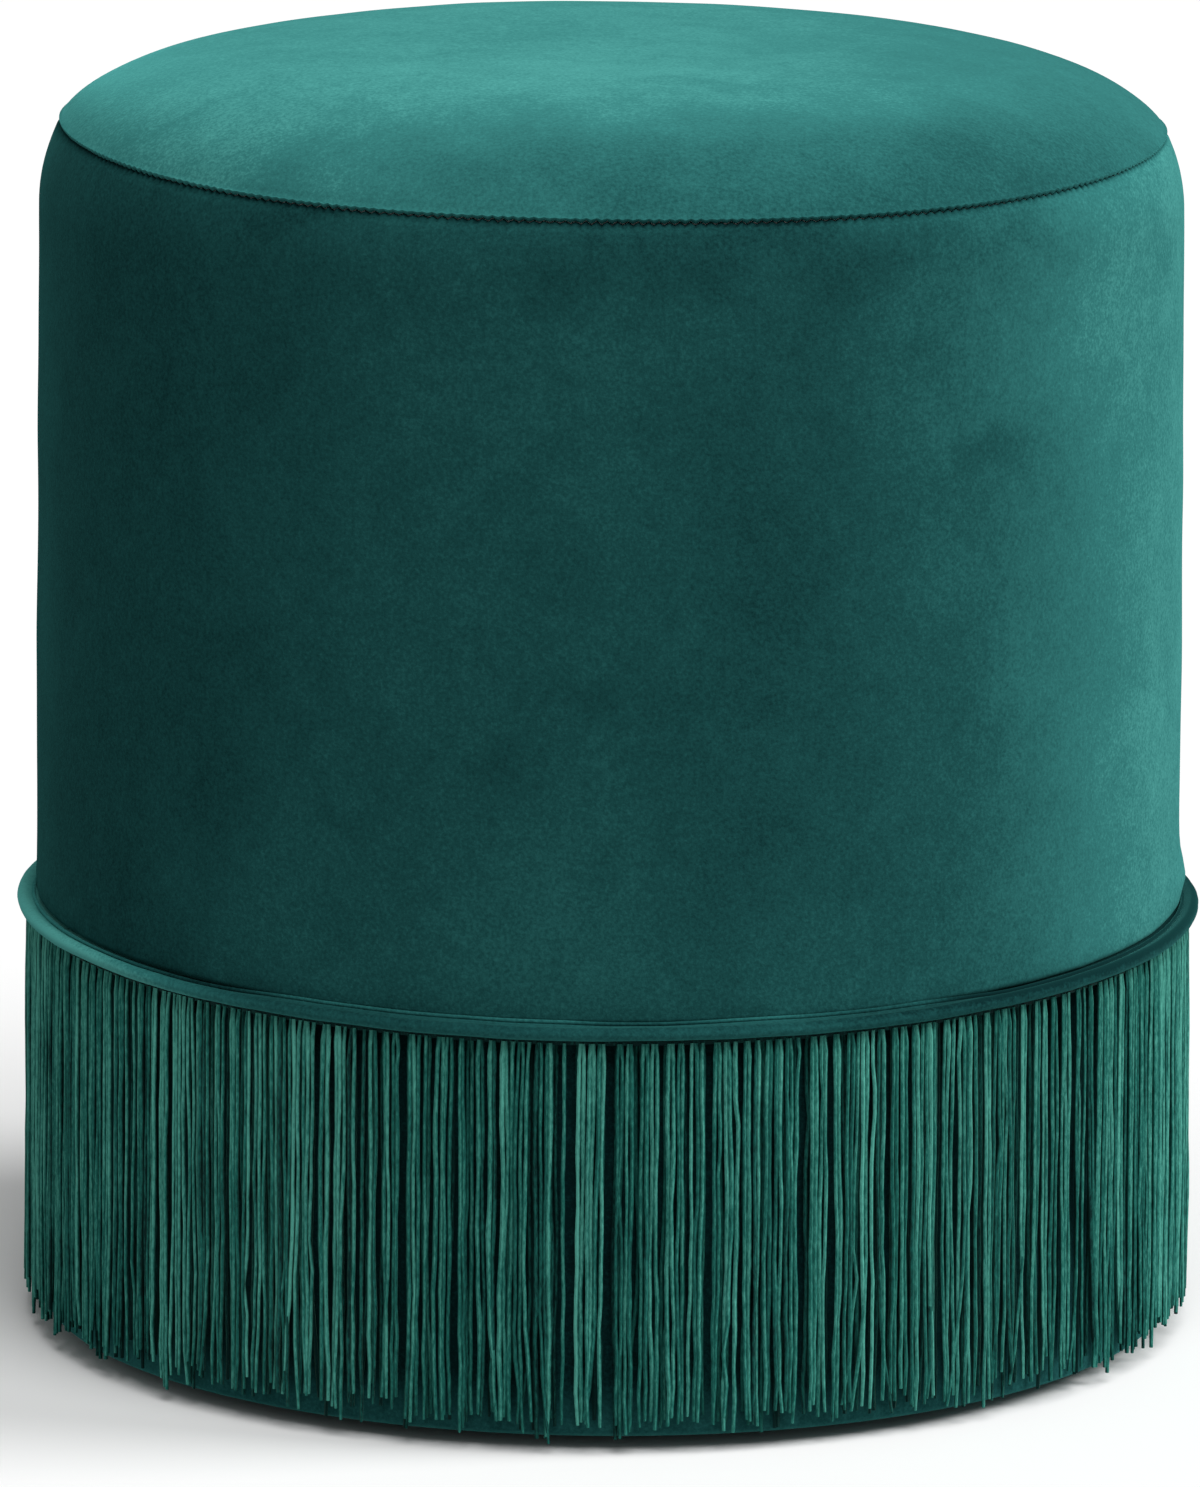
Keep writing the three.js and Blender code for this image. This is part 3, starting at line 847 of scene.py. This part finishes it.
def follow_welt(point):
    """Lifts or lowers what is sewn in at the welt, to where the welt strays."""
    turn = math.atan2(point.y, point.x) - FRONT
    stray = WELT_RISE - WELT_TILT * math.sin(turn) - WELT_SADDLE * math.cos(2 * turn)
    return point + Vector((0, 0, stray * hump(point.z - WELT_HEIGHT, WELT_SPREAD)))


def seat_surface(point):
    """Slack and hollows of the velvet over the seat."""
    inside = ease((SEAM_RADIUS - point.xy.length) / SEAT_SLACK_FADE)
    point.z += waves(point, SEAT_SLACK) * inside
    return follow_seam(point + pucker(point))


def seat_painted_shade_and_rim(point):
    """Painted shade in the seam, and darker along the rim to the right of the front."""
    seam = SEAM_SHADE * hump(point.z - CROWN_BASE, SEAM_SHADE_SPREAD)
    near_rim = ease((point.xy.length - RIM_SHADE_START) / RIM_SHADE_FADE)
    around = hump(math.atan2(point.y, point.x) - RIM_SHADE_TURN, RIM_SHADE_SPREAD)
    return -seam - RIM_SHADE * near_rim * around


def make_top_cover():
    """A velvet disc pulled over the dome, its edge rolled into the seam."""
    lip = arc((SEAM_RADIUS - LIP_ROUND, CROWN_BASE + LIP_ROUND), LIP_ROUND, 0, -90, 4)
    outer = list(reversed(crown_line(0, 44, LIP_ROUND)))
    inner = crown_line(VELVET, 16)
    outer[0], inner[-1] = (0, outer[0][1]), (0, inner[-1][1])
    cover = turn_outline("top_cover_velvet", [*outer, *lip, *inner], ROUND_STEPS)
    paint_light_and_shade(cover, seat_painted_shade_and_rim)
    move_points(cover, seat_surface)
    shade(cover)
    return dress(cover, seat_velvet, "velvet", "top_cover")


def crowd_to_seam(point):
    """Moves columns of points towards the upright seam at the back, to shape its groove."""
    turn = math.atan2(point.y, point.x) - BACK
    turn = (turn + math.pi) % math.tau - math.pi
    distance = turn * point.xy.length
    moved = distance * (1 - CROWDING * hump(distance, CROWDING_SPREAD))
    return moved, polar(BACK + moved / point.xy.length, point.xy.length, point.z)


def sleeve_surface(point):
    """Slack, hollows and puckers of the sleeve, and the groove of its upright seam."""
    from_seam, point = crowd_to_seam(point)
    outward = outward_from(point)
    over_hem = point.z - SLEEVE_HEM
    hem_fade, seam_fade = SLEEVE_SLACK_FADES
    middle = ease((over_hem - SLEEVE_SLACK_START) / hem_fade) * ease((SEAM_TOP - point.z) / seam_fade)
    slack = waves(point, SLEEVE_SLACK) * middle
    hem = hump(over_hem - HEM_WAVE_HEIGHT, HEM_SPREAD) * waves(point, HEM_WAVES)
    at_right = hump(Vector((1, 0, 0)).angle(outward), BULGE_SPREAD)
    bulge = BULGE * hump(over_hem - BULGE_HEIGHT, HEM_SPREAD) * at_right * ease(over_hem / BULGE_FADE)
    puff = SEAM_PUFF * hump(abs(from_seam) - SEAM_PUFF_PLACE, SEAM_PUFF_WIDTH)
    groove = SEAM_GROOVE * hump(from_seam, SEAM_GROOVE_WIDTH)
    moved = point + outward * (slack + hem + bulge + puff - groove) + pucker(point)
    return follow_seam(follow_welt(moved))


def make_side_cover():
    """The velvet sleeve, turned in over the welt and rolled into the seam of the seat."""
    hem = arc((SLEEVE_RADIUS - HEM_ROUND, SLEEVE_HEM + HEM_ROUND), HEM_ROUND, -90, 0, 6)
    lip = arc((SEAM_RADIUS - LIP_ROUND, SEAM_TOP - LIP_ROUND), LIP_ROUND, 0, 90, 4)
    shoulder = shoulder_line(0, 12, LIP_ROUND)
    shoulder_inside = list(reversed(shoulder_line(VELVET, 6, LIP_ROUND)))
    inside = SLEEVE_RADIUS - VELVET
    outline = [
        (HEM_INNER, SLEEVE_HEM),
        *hem,
        *line_between(hem[-1], shoulder[0], 46)[1:],
        *shoulder,
        *lip,
        *shoulder_inside,
        *line_between(shoulder_inside[-1], (inside, SLEEVE_HEM + HEM_ROUND), 12)[1:],
        *arc((SLEEVE_RADIUS - HEM_ROUND, SLEEVE_HEM + HEM_ROUND), HEM_ROUND - VELVET, 0, -90, 3),
        (HEM_INNER, SLEEVE_HEM + VELVET),
    ]
    cover = turn_outline("side_cover_velvet", outline, ROUND_STEPS)
    # Painted shade in the seam of the seat
    paint_light_and_shade(cover, lambda point: -SEAM_SHADE * hump(point.z - SEAM_TOP, SEAM_SHADE_SPREAD))
    move_points(cover, sleeve_surface)
    shade(cover)
    return dress(cover, sleeve_velvet, "velvet", "side_cover")


def welt_surface(point):
    """The small waves of a welt that is sewn by hand, and where the ridge on it sinks in."""
    outward = outward_from(point)
    share = ease((point.xy.length - SLEEVE_RADIUS) / WELT_ROUND)
    wave = waves(outward * WELT_CENTRE, WELT_WAVES)
    swell = waves(point, WELT_SWELL)
    over_roll = ease((point.z - WELT_LEVEL - RIDGE_BASE) / RIDGE_FADE)
    behind_roll = ease((WELT_CENTRE - RIDGE_BEHIND - point.xy.length) / RIDGE_FADE)
    drop = RIDGE_DROP * over_roll * behind_roll * ridge_sunk(point)
    return follow_welt(point + Vector((0, 0, wave * share - drop)) + outward * swell * share)


def ridge_sunk(point):
    """From 0, where the ridge stands up at the front and the back, to 1, where it has sunk in."""
    outward = outward_from(point)
    towards_side = ease((abs(outward.x) - RIDGE_END) / RIDGE_END_FADE)
    return max(0, towards_side, waves(outward * WELT_CENTRE, RIDGE_WAVES))


def welt_painted_light_and_shade(point):
    """Painted light and shade: the roll is paler at its foot and darker on top, and the ridge has a
    painted highlight where it stands up and painted shade where it has sunk in.
    """
    over_middle = point.z - WELT_LEVEL
    foot = WELT_FOOT_LIGHT * (1 - ease((over_middle + WELT_ROUND) / WELT_ROUND))
    top = WELT_TOP_SHADE * ease(over_middle / WELT_ROUND)
    on_ridge = ease((over_middle - WELT_ROUND) / RIDGE_ROUND)
    return foot - top + on_ridge * blend(RIDGE_LIGHT, -RIDGE_SUNK_SHADE, ridge_sunk(point))


def make_welt_cover():
    """A bias strip folded round the welt cord, with the small fold along its top."""
    centre = (WELT_CENTRE, WELT_LEVEL)
    ridge = (SLEEVE_RADIUS + RIDGE_OUT, WELT_LEVEL + RIDGE_RISE)
    flange = WELT_PLY + CLEARANCE / 2
    outline = [
        (HEM_INNER, WELT_HEIGHT - flange),
        *arc(centre, WELT_ROUND, -164, 112, 26),
        *arc(ridge, RIDGE_ROUND, -50, 180, 8),
        (SLEEVE_RADIUS + CLEARANCE, WELT_HEIGHT + flange + HEM_ROUND / 2),
        (SLEEVE_RADIUS - HEM_ROUND / 2, WELT_HEIGHT + flange),
        (HEM_INNER, WELT_HEIGHT + flange),
        (HEM_INNER, WELT_HEIGHT + CLEARANCE / 2),
        *arc(centre, WELT_HOLLOW, 174, -174, 16),
        (HEM_INNER, WELT_HEIGHT - CLEARANCE / 2),
    ]
    cover = turn_outline("welt_cover_velvet", outline, ROUND_STEPS)
    paint_light_and_shade(cover, welt_painted_light_and_shade)
    move_points(cover, welt_surface)
    shade(cover, 70)
    return dress(cover, welt_velvet, "velvet", "welt_cover")


def make_welt_cord():
    """The cotton cord in the welt, laid up from three twisted plies."""
    outline = arc((WELT_CENTRE, WELT_LEVEL), CORD_ROUND, 0, 330, 11)
    cord = turn_outline("welt_cord_cotton", outline, ROUND_STEPS)

    def lay_up(point):
        turn = math.atan2(point.y, point.x)
        offset = Vector((point.xy.length - WELT_CENTRE, point.z - WELT_LEVEL))
        side = math.atan2(offset.y, offset.x)
        between = abs(math.sin(CORD_PLIES / 2 * (side - CORD_TWISTS * turn)))
        ply = 1 - CORD_GROOVE * between
        return follow_welt(polar(turn, WELT_CENTRE + offset.x * ply, WELT_LEVEL + offset.y * ply))

    move_points(cord, lay_up)
    shade(cord, 80)
    return dress(cord, cotton, "cotton", "welt_cord")


def band_surface(point):
    """Small gathers where the band is turned under, and slack on its wall."""
    turn = math.atan2(point.y, point.x)
    under = ease((BAND_RADIUS - BAND_ROUND - point.xy.length) / PLEAT_FADE)
    low = hump(point.z - BAND_FOOT, PLEAT_SPREAD)
    pleat = math.sin(turn * PLEAT_COUNT + waves(point, PLEAT_DRIFT))
    point.z += PLEAT_DEPTH * under * low * pleat
    foot_fade, top_fade = BAND_SLACK_FADES
    wall = ease((point.z - BAND_FOOT) / foot_fade) * ease((BAND_TOP - point.z) / top_fade)
    return follow_welt(point + outward_from(point) * waves(point, BAND_SLACK) * wall)


def band_painted_light(point):
    """Painted light: the band is lighter under the tips of the strands, and a painted highlight makes
    it lightest at its folded hem.
    """
    over_foot = point.z - BAND_FOOT
    open_part = BAND_LIGHT * (1 - ease((over_foot - BAND_LIGHT_LOW) / BAND_LIGHT_FADE))
    return open_part + BAND_FOLD_LIGHT * (1 - ease(over_foot / BAND_FOLD_FADE))


def make_lower_band():
    """The velvet band behind the fringe: hemmed in under the welt and turned under the base."""
    inside = BAND_RADIUS - VELVET
    under_inner = BAND_RADIUS - BAND_UNDER
    foot = (BAND_RADIUS - BAND_ROUND, BAND_FOOT + BAND_ROUND)
    outline = [
        *line_between((under_inner, BAND_FOOT), (BAND_RADIUS - BAND_ROUND, BAND_FOOT), 8),
        *arc(foot, BAND_ROUND, -90, 0, 7),
        *line_between((BAND_RADIUS, BAND_FOOT + BAND_ROUND), (BAND_RADIUS, BAND_TOP), 16)[1:],
        (BAND_RADIUS, BAND_TOP),
        (HEM_INNER, BAND_TOP),
        (HEM_INNER, BAND_TOP - VELVET),
        (inside, BAND_TOP - VELVET),
        *line_between((inside, BAND_TOP - 2 * VELVET), (inside, BAND_FOOT + BAND_ROUND), 8),
        *arc(foot, BAND_ROUND - VELVET, 0, -90, 4),
        *line_between((foot[0], BAND_FOOT + VELVET), (under_inner, BAND_FOOT + VELVET), 6)[1:],
        (under_inner, BAND_FOOT + VELVET),
    ]
    band = turn_outline("lower_band_velvet", outline, PLEAT_COUNT * PLEAT_STEPS)
    paint_light_and_shade(band, band_painted_light)
    move_points(band, band_surface)
    shade(band)
    return dress(band, band_velvet, "velvet", "lower_band")


top_cover = make_top_cover()
side_cover = make_side_cover()
make_welt_cover()
make_welt_cord()
lower_band = make_lower_band()


# Padding

def foam_surface(point):
    """The soft waves of the cut foam, over its flat underside."""
    point.z += waves(point, FOAM_WAVES) * ease((point.z - foam_low.z) / FOAM_WAVE_FADE)
    return lean(point)


def make_seat_foam():
    """The domed seat foam, flat underneath."""
    inset = SEAM_RADIUS - foam_high.x + (BODY_RADIUS - SEAM_RADIUS)
    shoulder = shoulder_line(inset, 6)
    outline = [
        *line_between((0, foam_low.z), (shoulder[0][0], foam_low.z), 8),
        *shoulder,
        *crown_line(inset, 22),
    ]
    outline[-1] = (0, outline[-1][1])
    pad = turn_outline("seat_foam_pad", outline, PLAIN_STEPS)
    move_points(pad, foam_surface)
    shade(pad)
    return dress(pad, seat_filling, "foam", "seat_foam")


def make_seat_wadding():
    """The wadding over the foam, down to the foot of the foam."""
    outer = BODY_RADIUS - wadding_high.x
    inner = outer + WADDING
    outline = [
        *crown_line(inner, 20)[::-1],
        *shoulder_line(inner, 5)[::-1],
        (BODY_RADIUS - inner, wadding_low.z),
        (BODY_RADIUS - outer, wadding_low.z),
        *shoulder_line(outer, 5),
        *crown_line(outer, 26),
    ]
    outline[0], outline[-1] = (0, outline[0][1]), (0, outline[-1][1])
    pad = turn_outline("seat_wadding_layer", outline, PLAIN_STEPS)
    move_points(pad, lean)
    shade(pad)
    return dress(pad, fluff, "wadding", "seat_wadding")


def make_side_foam():
    """The foam sheet round the wall, pressed in behind the welt, with a slit at the back."""
    inner = wall_high.x + CLEARANCE
    lower = BAND_RADIUS - VELVET - CLEARANCE
    upper = BODY_RADIUS - VELVET - CLEARANCE
    groove = HEM_INNER - CLEARANCE
    groove_low = BAND_TOP - VELVET - CLEARANCE
    groove_high = SLEEVE_HEM + VELVET + CLEARANCE
    over_groove = (SLEEVE_RADIUS - VELVET - CLEARANCE, groove_high)
    outline = [
        *line_between((inner, wrap_low.z), (lower, wrap_low.z), 3),
        *line_between((lower, wrap_low.z), (lower, groove_low), 12),
        (lower, groove_low),
        (groove, groove_low),
        (groove, groove_high),
        over_groove,
        *line_between(over_groove, (upper, wrap_high.z), 16)[1:],
        (upper, wrap_high.z),
        *line_between((inner, wrap_high.z), (inner, wrap_low.z), 20),
    ]
    slit = FOAM_SLIT / upper
    sheet = turn_outline("side_foam_sheet", outline, PLAIN_STEPS, math.tau - slit, BACK + slit / 2)
    move_points(sheet, follow_welt)
    shade(sheet)
    return dress(sheet, seat_filling, "foam", "side_foam")


seat_foam = make_seat_foam()
seat_wadding = make_seat_wadding()
side_foam = make_side_foam()


# Fringe

def make_strand_pattern():
    """One straight strand, 1 long and 1 in radius, that hangs down from the origin."""
    start_clean()
    bpy.ops.mesh.primitive_circle_add(
        vertices=STRAND_SIDES, radius=1, fill_type="NGON", rotation=(0, 0, -math.pi / 2)
    )
    bpy.ops.object.transform_apply(rotation=True)
    pattern = bpy.context.object
    bpy.ops.object.mode_set(mode="EDIT")
    bpy.ops.mesh.select_all(action="SELECT")
    step = (0, 0, -1 / STRAND_PARTS)
    for _ in range(STRAND_PARTS):
        bpy.ops.mesh.extrude_region_move(TRANSFORM_OT_translate={"value": step})
    bpy.ops.transform.resize(value=(STRAND_END, STRAND_END, 1))
    bpy.ops.mesh.select_all(action="SELECT")
    bpy.ops.mesh.normals_make_consistent(inside=False)
    bpy.ops.object.mode_set(mode="OBJECT")
    return pattern


class Bundle:
    """Strands that hang close together and wander as one."""

    def __init__(self, chance, row, middle, count):
        self.row = row
        self.middle = middle
        self.count = count
        self.swing = chance.uniform(0, math.tau)
        self.drift = chance.gauss(0, BUNDLE_DRIFT)
        self.pinch = chance.uniform(*BUNDLE_PINCH)
        self.tip = TIP_HEIGHT + chance.gauss(0, row.tips)


class Strand:
    """One strand of a bundle, and how it strays from the bundle's middle."""

    def __init__(self, chance, bundle, number):
        self.bundle = bundle
        from_middle = STRAND_SPACING * (number - (bundle.count - 1) / 2)
        self.spacing = from_middle + chance.gauss(0, SPACING_SPREAD)
        self.pull = PAIR_PULL * (-1) ** number if bundle.count > 1 else 0.0
        self.phase = chance.uniform(0, math.tau)
        self.sway = chance.uniform(*SWAY)
        self.stray = chance.gauss(0, STRAY) if chance.random() < STRAY_CHANCE else 0.0
        self.kink_place = chance.uniform(*KINK_PLACES)
        self.kink = 0.0
        if chance.random() < KINK_CHANCE:
            self.kink = chance.choice((-1, 1)) * chance.uniform(*KINK)
        self.depth = chance.uniform(-ROW_DEPTH, ROW_DEPTH)
        self.end = max(TIP_LOWEST, bundle.tip + chance.gauss(0, TIP_SPREAD))
        self.parting = chance.uniform(*PAIR_PARTS)

    def across(self, share):
        """How far round the fringe it hangs, at a share of its length from the tape down."""
        bundle = self.bundle
        across = bundle.middle
        across += bundle.drift * math.sin(bundle.swing + BUNDLE_DRIFT_TURN * share)
        across += self.spacing * (1 - bundle.pinch * share * share)
        across += self.pull * (1 - ease(share / self.parting))
        across += self.sway * math.sin(self.phase + SWAY_TURN * share) * ease(SWAY_EASE * share)
        across += CURL * math.sin(3 * self.phase + CURL_TURN * share) * share
        across += self.kink * hump(share - self.kink_place, KINK_SPREAD)
        return across + self.stray * share ** STRAY_POWER

    def out(self, share):
        """How far from the drum's axis it hangs, at a share of its length."""
        row_radius = self.bundle.row.radius
        hanging = row_radius + HEM_FLARE * share + self.depth * ease(ROW_DEPTH_EASE * share)
        out = blend(min(row_radius, HEADER_REACH), hanging, ease(share / HEADER_BEND))
        return out + CURL_OUT * math.sin(2 * self.phase + CURL_OUT_TURN * share) * share

    def place(self, share):
        """Its angle, radius and height at a share of its length."""
        top = HEADER_TOP - HEADER_THICKNESS / 2
        return self.across(share) / FRONT_ROW, self.out(share), blend(top, self.end, share)


def strand_noise(pattern, turn, share):
    """A smooth random number at an angle round the fringe and a share of a strand's length."""
    around, along, seed = pattern
    return noise.noise(Vector((around * turn, along * share, seed)))


def hang_strand(pattern, strand, tone, thickness):
    """A copy of the pattern, laid along a strand's middle line, with painted light and shade: paler
    on its outward side and darker on its inner side.
    """
    piece = copy_of(pattern, Matrix.Identity(4))
    values = piece.data.attributes.new("tone", "FLOAT", "POINT").data
    for vertex, value in zip(piece.data.vertices, values):
        share = (-vertex.co.z) ** STRAND_CROWDING
        turn, radius, height = strand.place(share)
        middle = follow_welt(polar(turn, radius, height))
        outward = polar(turn, 1, 0)
        sideways = polar(turn + math.pi / 2, 1, 0)
        mottle = MOTTLE_TONE * strand_noise(MOTTLE_PATTERN, turn, share)
        side = OUTWARD_TONE * (vertex.co.x - OUTWARD_TONE_SHARE)
        value.value = tone + mottle + side - TIP_TONE * share
        knot = KNOTS * strand_noise(KNOT_PATTERN, turn, share)
        around = outward * vertex.co.x + sideways * vertex.co.y
        vertex.co = middle + thickness * (1 + knot) * around
    return piece


def quarter_strands(pattern, chance, start, row):
    """All strands of one row of a quarter of the fringe, bundle by bundle."""
    reach = FRONT_ROW * math.pi / 2
    pieces = []
    place = chance.uniform(*FIRST_GAP)
    while True:
        count = chance.choice(row.counts)
        width = (count - 1) * STRAND_WIDTH + 2 * STRAND_ROUND
        if place + width > reach:
            return pieces
        bundle_tone = chance.gauss(row.tone, BUNDLE_TONE)
        bundle = Bundle(chance, row, start * FRONT_ROW + place + width / 2, count)
        for strand in [Strand(chance, bundle, number) for number in range(count)]:
            tone = bundle_tone + chance.gauss(0, STRAND_TONE)
            thickness = STRAND_ROUND * chance.uniform(*STRAND_ROUND_SHARES)
            pieces.append(hang_strand(pattern, strand, tone, thickness))
        place += width + chance.triangular(*row.gaps, row.gaps[0])


def make_fringe_quarter(pattern, side, quarter):
    """A quarter of the fringe: two rows of strands under a slice of the header tape."""
    chance = random.Random(FRINGE_SEED + quarter)
    start = -3 * math.pi / 4 + quarter * math.pi / 2
    low, high = HEADER_TOP - HEADER_THICKNESS, HEADER_TOP
    outline = [(HEM_INNER, low), (HEADER_REACH, low), (HEADER_REACH, high), (HEM_INNER, high)]
    slit = CLEARANCE / FRONT_ROW
    tape = turn_outline("header", outline, HEADER_STEPS, math.pi / 2 - slit, start + slit / 2)
    tape.data.attributes.new("tone", "FLOAT", "POINT")
    move_points(tape, follow_welt)
    front = quarter_strands(pattern, chance, start, FRONT_HANG)
    back = quarter_strands(pattern, chance, start, BACK_HANG)
    quarter_piece = join(f"fringe_{side}_strands", [tape, *front, *back])
    shade(quarter_piece, 60)
    return dress(quarter_piece, yarn, "fringe", f"fringe_{side}")


def make_fringe():
    """The fringe in four quarters, from the front round by the right."""
    pattern = make_strand_pattern()
    for quarter, side in enumerate(["front", "right", "back", "left"]):
        make_fringe_quarter(pattern, side, quarter)
    bpy.data.objects.remove(pattern)


make_fringe()


# Base cloth, staples and stitches

def cloth_surface(point):
    """The pull of the staples at the rim of the base cloth, and its slack in the middle."""
    turn = math.atan2(point.y, point.x)
    near_rim = ease((point.xy.length - STAPLE_PULL_START) / STAPLE_PULL_FADE)
    pull = STAPLE_PULL * math.cos(STAPLE_COUNT * turn) * near_rim
    inside = 1 - ease((point.xy.length - CLOTH_SLACK_START) / CLOTH_SLACK_FADE)
    point.z += pull + waves(point, CLOTH_SLACK) * inside
    return point


def make_dust_cover():
    """The black base cloth, stapled under the base ring."""
    low, high = CLOTH_MIDDLE - CLOTH_THICKNESS / 2, CLOTH_MIDDLE + CLOTH_THICKNESS / 2
    outline = [
        *line_between((0, low), (CLOTH_RADIUS, low), 26),
        (CLOTH_RADIUS, low),
        *line_between((CLOTH_RADIUS, high), (0, high), 26),
        (0, high),
    ]
    cloth = turn_outline("dust_cover_cloth", outline, STAPLE_COUNT * CLOTH_STEPS)
    move_points(cloth, cloth_surface)
    shade(cloth)
    return dress(cloth, base_cloth, "black_cloth", "dust_cover")


def make_staple():
    """The crown of one staple, flat on the base cloth and rounded at its edges."""
    start_clean()
    bpy.ops.mesh.primitive_cube_add(size=1)
    staple = bpy.context.object
    middle = Matrix.Translation((STAPLE_PLACE, 0, cloth_low.z - STAPLE_WIRE / 2))
    staple.data.transform(middle @ Matrix.Diagonal((STAPLE_WIRE, STAPLE_LENGTH, STAPLE_WIRE, 1)))
    bpy.ops.object.mode_set(mode="EDIT")
    bpy.ops.mesh.select_all(action="SELECT")
    bpy.ops.mesh.bevel(offset=STAPLE_WIRE / 4, segments=2)
    bpy.ops.object.mode_set(mode="OBJECT")
    return staple


def make_staples():
    """A ring of staples round the base cloth."""
    pattern = make_staple()
    copies = []
    for i in range(STAPLE_COUNT):
        turn = (i + 0.5) * math.tau / STAPLE_COUNT
        copies.append(copy_of(pattern, Matrix.Rotation(turn, 4, "Z")))
    bpy.data.objects.remove(pattern)
    staples = join("base_staples", copies)
    shade(staples)
    return dress(staples, steel, "steel")


dust_cover = make_dust_cover()
make_staples()


def make_stitch():
    """One stitch: a short thread that dips at both ends, along Y."""
    start_clean()
    bpy.ops.mesh.primitive_circle_add(
        vertices=STITCH_SIDES, radius=STITCH_ROUND, fill_type="NGON", rotation=(math.pi / 2, 0, 0)
    )
    stitch = bpy.context.object
    bpy.ops.object.transform_apply(rotation=True)
    bpy.ops.object.mode_set(mode="EDIT")
    bpy.ops.mesh.select_all(action="SELECT")
    bpy.ops.transform.translate(value=(0, -STITCH_LENGTH / 2, 0))
    step = (0, STITCH_LENGTH / STITCH_PARTS, 0)
    for _ in range(STITCH_PARTS):
        bpy.ops.mesh.extrude_region_move(TRANSFORM_OT_translate={"value": step})
    bpy.ops.mesh.select_all(action="SELECT")
    bpy.ops.mesh.normals_make_consistent(inside=False)
    bpy.ops.object.mode_set(mode="OBJECT")
    for vertex in stitch.data.vertices:
        vertex.co.x -= STITCH_DIP * (2 * vertex.co.y / STITCH_LENGTH) ** 2
    return stitch


def copy_to(pattern, point, turn, roll):
    """A copy of a stitch at a point, turned to an angle round the drum and rolled there."""
    turned = Matrix.Rotation(turn, 4, "Z") @ Matrix.Rotation(roll, 4, "X")
    return copy_of(pattern, Matrix.Translation(point) @ turned)


def make_seam_stitches():
    """The stitches in the seam of the seat and in the upright seam at the back."""
    pattern = make_stitch()
    chance = random.Random(STITCH_SEED)
    copies = []
    seam_height = (SEAM_TOP + CROWN_BASE) / 2
    for i in range(STITCH_COUNT):
        turn = i * math.tau / STITCH_COUNT
        point = follow_seam(polar(turn, SEAM_RADIUS - SEAM_STITCH_DEPTH, seam_height))
        copies.append(copy_to(pattern, point, turn, math.radians(chance.uniform(*STITCH_SLANTS))))
    spacing = math.tau * SEAM_RADIUS / STITCH_COUNT
    first = SLEEVE_HEM + 2 * HEM_ROUND
    rows = int((SEAM_TOP - SHOULDER_DROP - first) / spacing)
    for i in range(rows):
        radius = blend(SLEEVE_RADIUS, BODY_RADIUS, i / rows) - UPRIGHT_STITCH_DEPTH
        point = polar(BACK, radius, first + i * spacing)
        copies.append(copy_to(pattern, point, BACK, math.pi / 2))
    bpy.data.objects.remove(pattern)
    stitches = join("seam_stitches", copies)
    shade(stitches, 80)
    return dress(stitches, stitch_thread, "velvet")


make_seam_stitches()

finish_frame()


# Floor, light and camera

def seen_or_lit(paint, seen, lit):
    """One grey for the camera and for reflections, and another for the light that bounces off."""
    path = paint.node("ShaderNodeLightPath", output="Is Camera Ray")
    glossy = paint.node("ShaderNodeLightPath", output="Is Glossy Ray")
    through = paint.node("ShaderNodeLightPath", output="Is Transmission Ray")
    return paint.mix(path + glossy + through, (lit, lit, lit, 1), (seen, seen, seen, 1))


def make_floor():
    """A plain pale floor."""
    start_clean()
    bpy.ops.mesh.primitive_plane_add(size=FLOOR_SIZE)
    floor = bpy.context.object
    floor.name = "floor"
    paint = Paint("studio floor")
    grey = seen_or_lit(paint, FLOOR_SEEN, FLOOR_LIT)
    floor.data.materials.append(paint.surface(grey, FLOOR_ROUGHNESS, Specular_IOR_Level=0.0))


def make_sun(name, turn_degrees, height_degrees, strength, spread_degrees):
    """A soft lamp, at an angle to the right of the front and above the floor."""
    lamp = bpy.data.lights.new(name, "SUN")
    lamp.energy = strength
    lamp.angle = math.radians(spread_degrees)
    sun = bpy.data.objects.new(name, lamp)
    height = math.radians(height_degrees)
    towards = polar(math.radians(turn_degrees - 90), math.cos(height), math.sin(height))
    sun.rotation_euler = towards.to_track_quat("Z", "Y").to_euler()
    bpy.context.scene.collection.objects.link(sun)


def make_world():
    """A backdrop that is white to the camera, and gives a faint light from all round."""
    paint = Paint("studio", bpy.data.worlds)
    seen = paint.node("ShaderNodeLightPath", output="Is Camera Ray")
    strength = paint.remap(seen, 0.0, 1.0, WORLD_LIGHT, 1.0)
    inputs = {"Color": (1, 1, 1, 1), "Strength": strength}
    backdrop = paint.node("ShaderNodeBackground", {}, inputs)
    paint.node("ShaderNodeOutputWorld", {}, {"Surface": backdrop})
    bpy.context.scene.world = paint.owner


def make_camera():
    """A long lens in front of the stool, over its seat and looking slightly down."""
    view = bpy.data.cameras.new("camera")
    view.lens = CAMERA_LENS
    view.sensor_width = CAMERA_SENSOR
    view.clip_end = CAMERA_END
    camera = bpy.data.objects.new("camera", view)
    camera.location = CAMERA_PLACE
    turned = Matrix.Rotation(CAMERA_TILT, 4, "X") @ Matrix.Rotation(CAMERA_ROLL, 4, "Z")
    camera.rotation_euler = turned.to_euler()
    bpy.context.scene.collection.objects.link(camera)
    bpy.context.scene.camera = camera


make_floor()
make_sun("key lamp", turn_degrees=88, height_degrees=36, strength=1.8, spread_degrees=25)
make_sun("top lamp", turn_degrees=20, height_degrees=62, strength=1.7, spread_degrees=40)
make_world()
make_camera()
bpy.context.scene.view_settings.view_transform = "Standard"
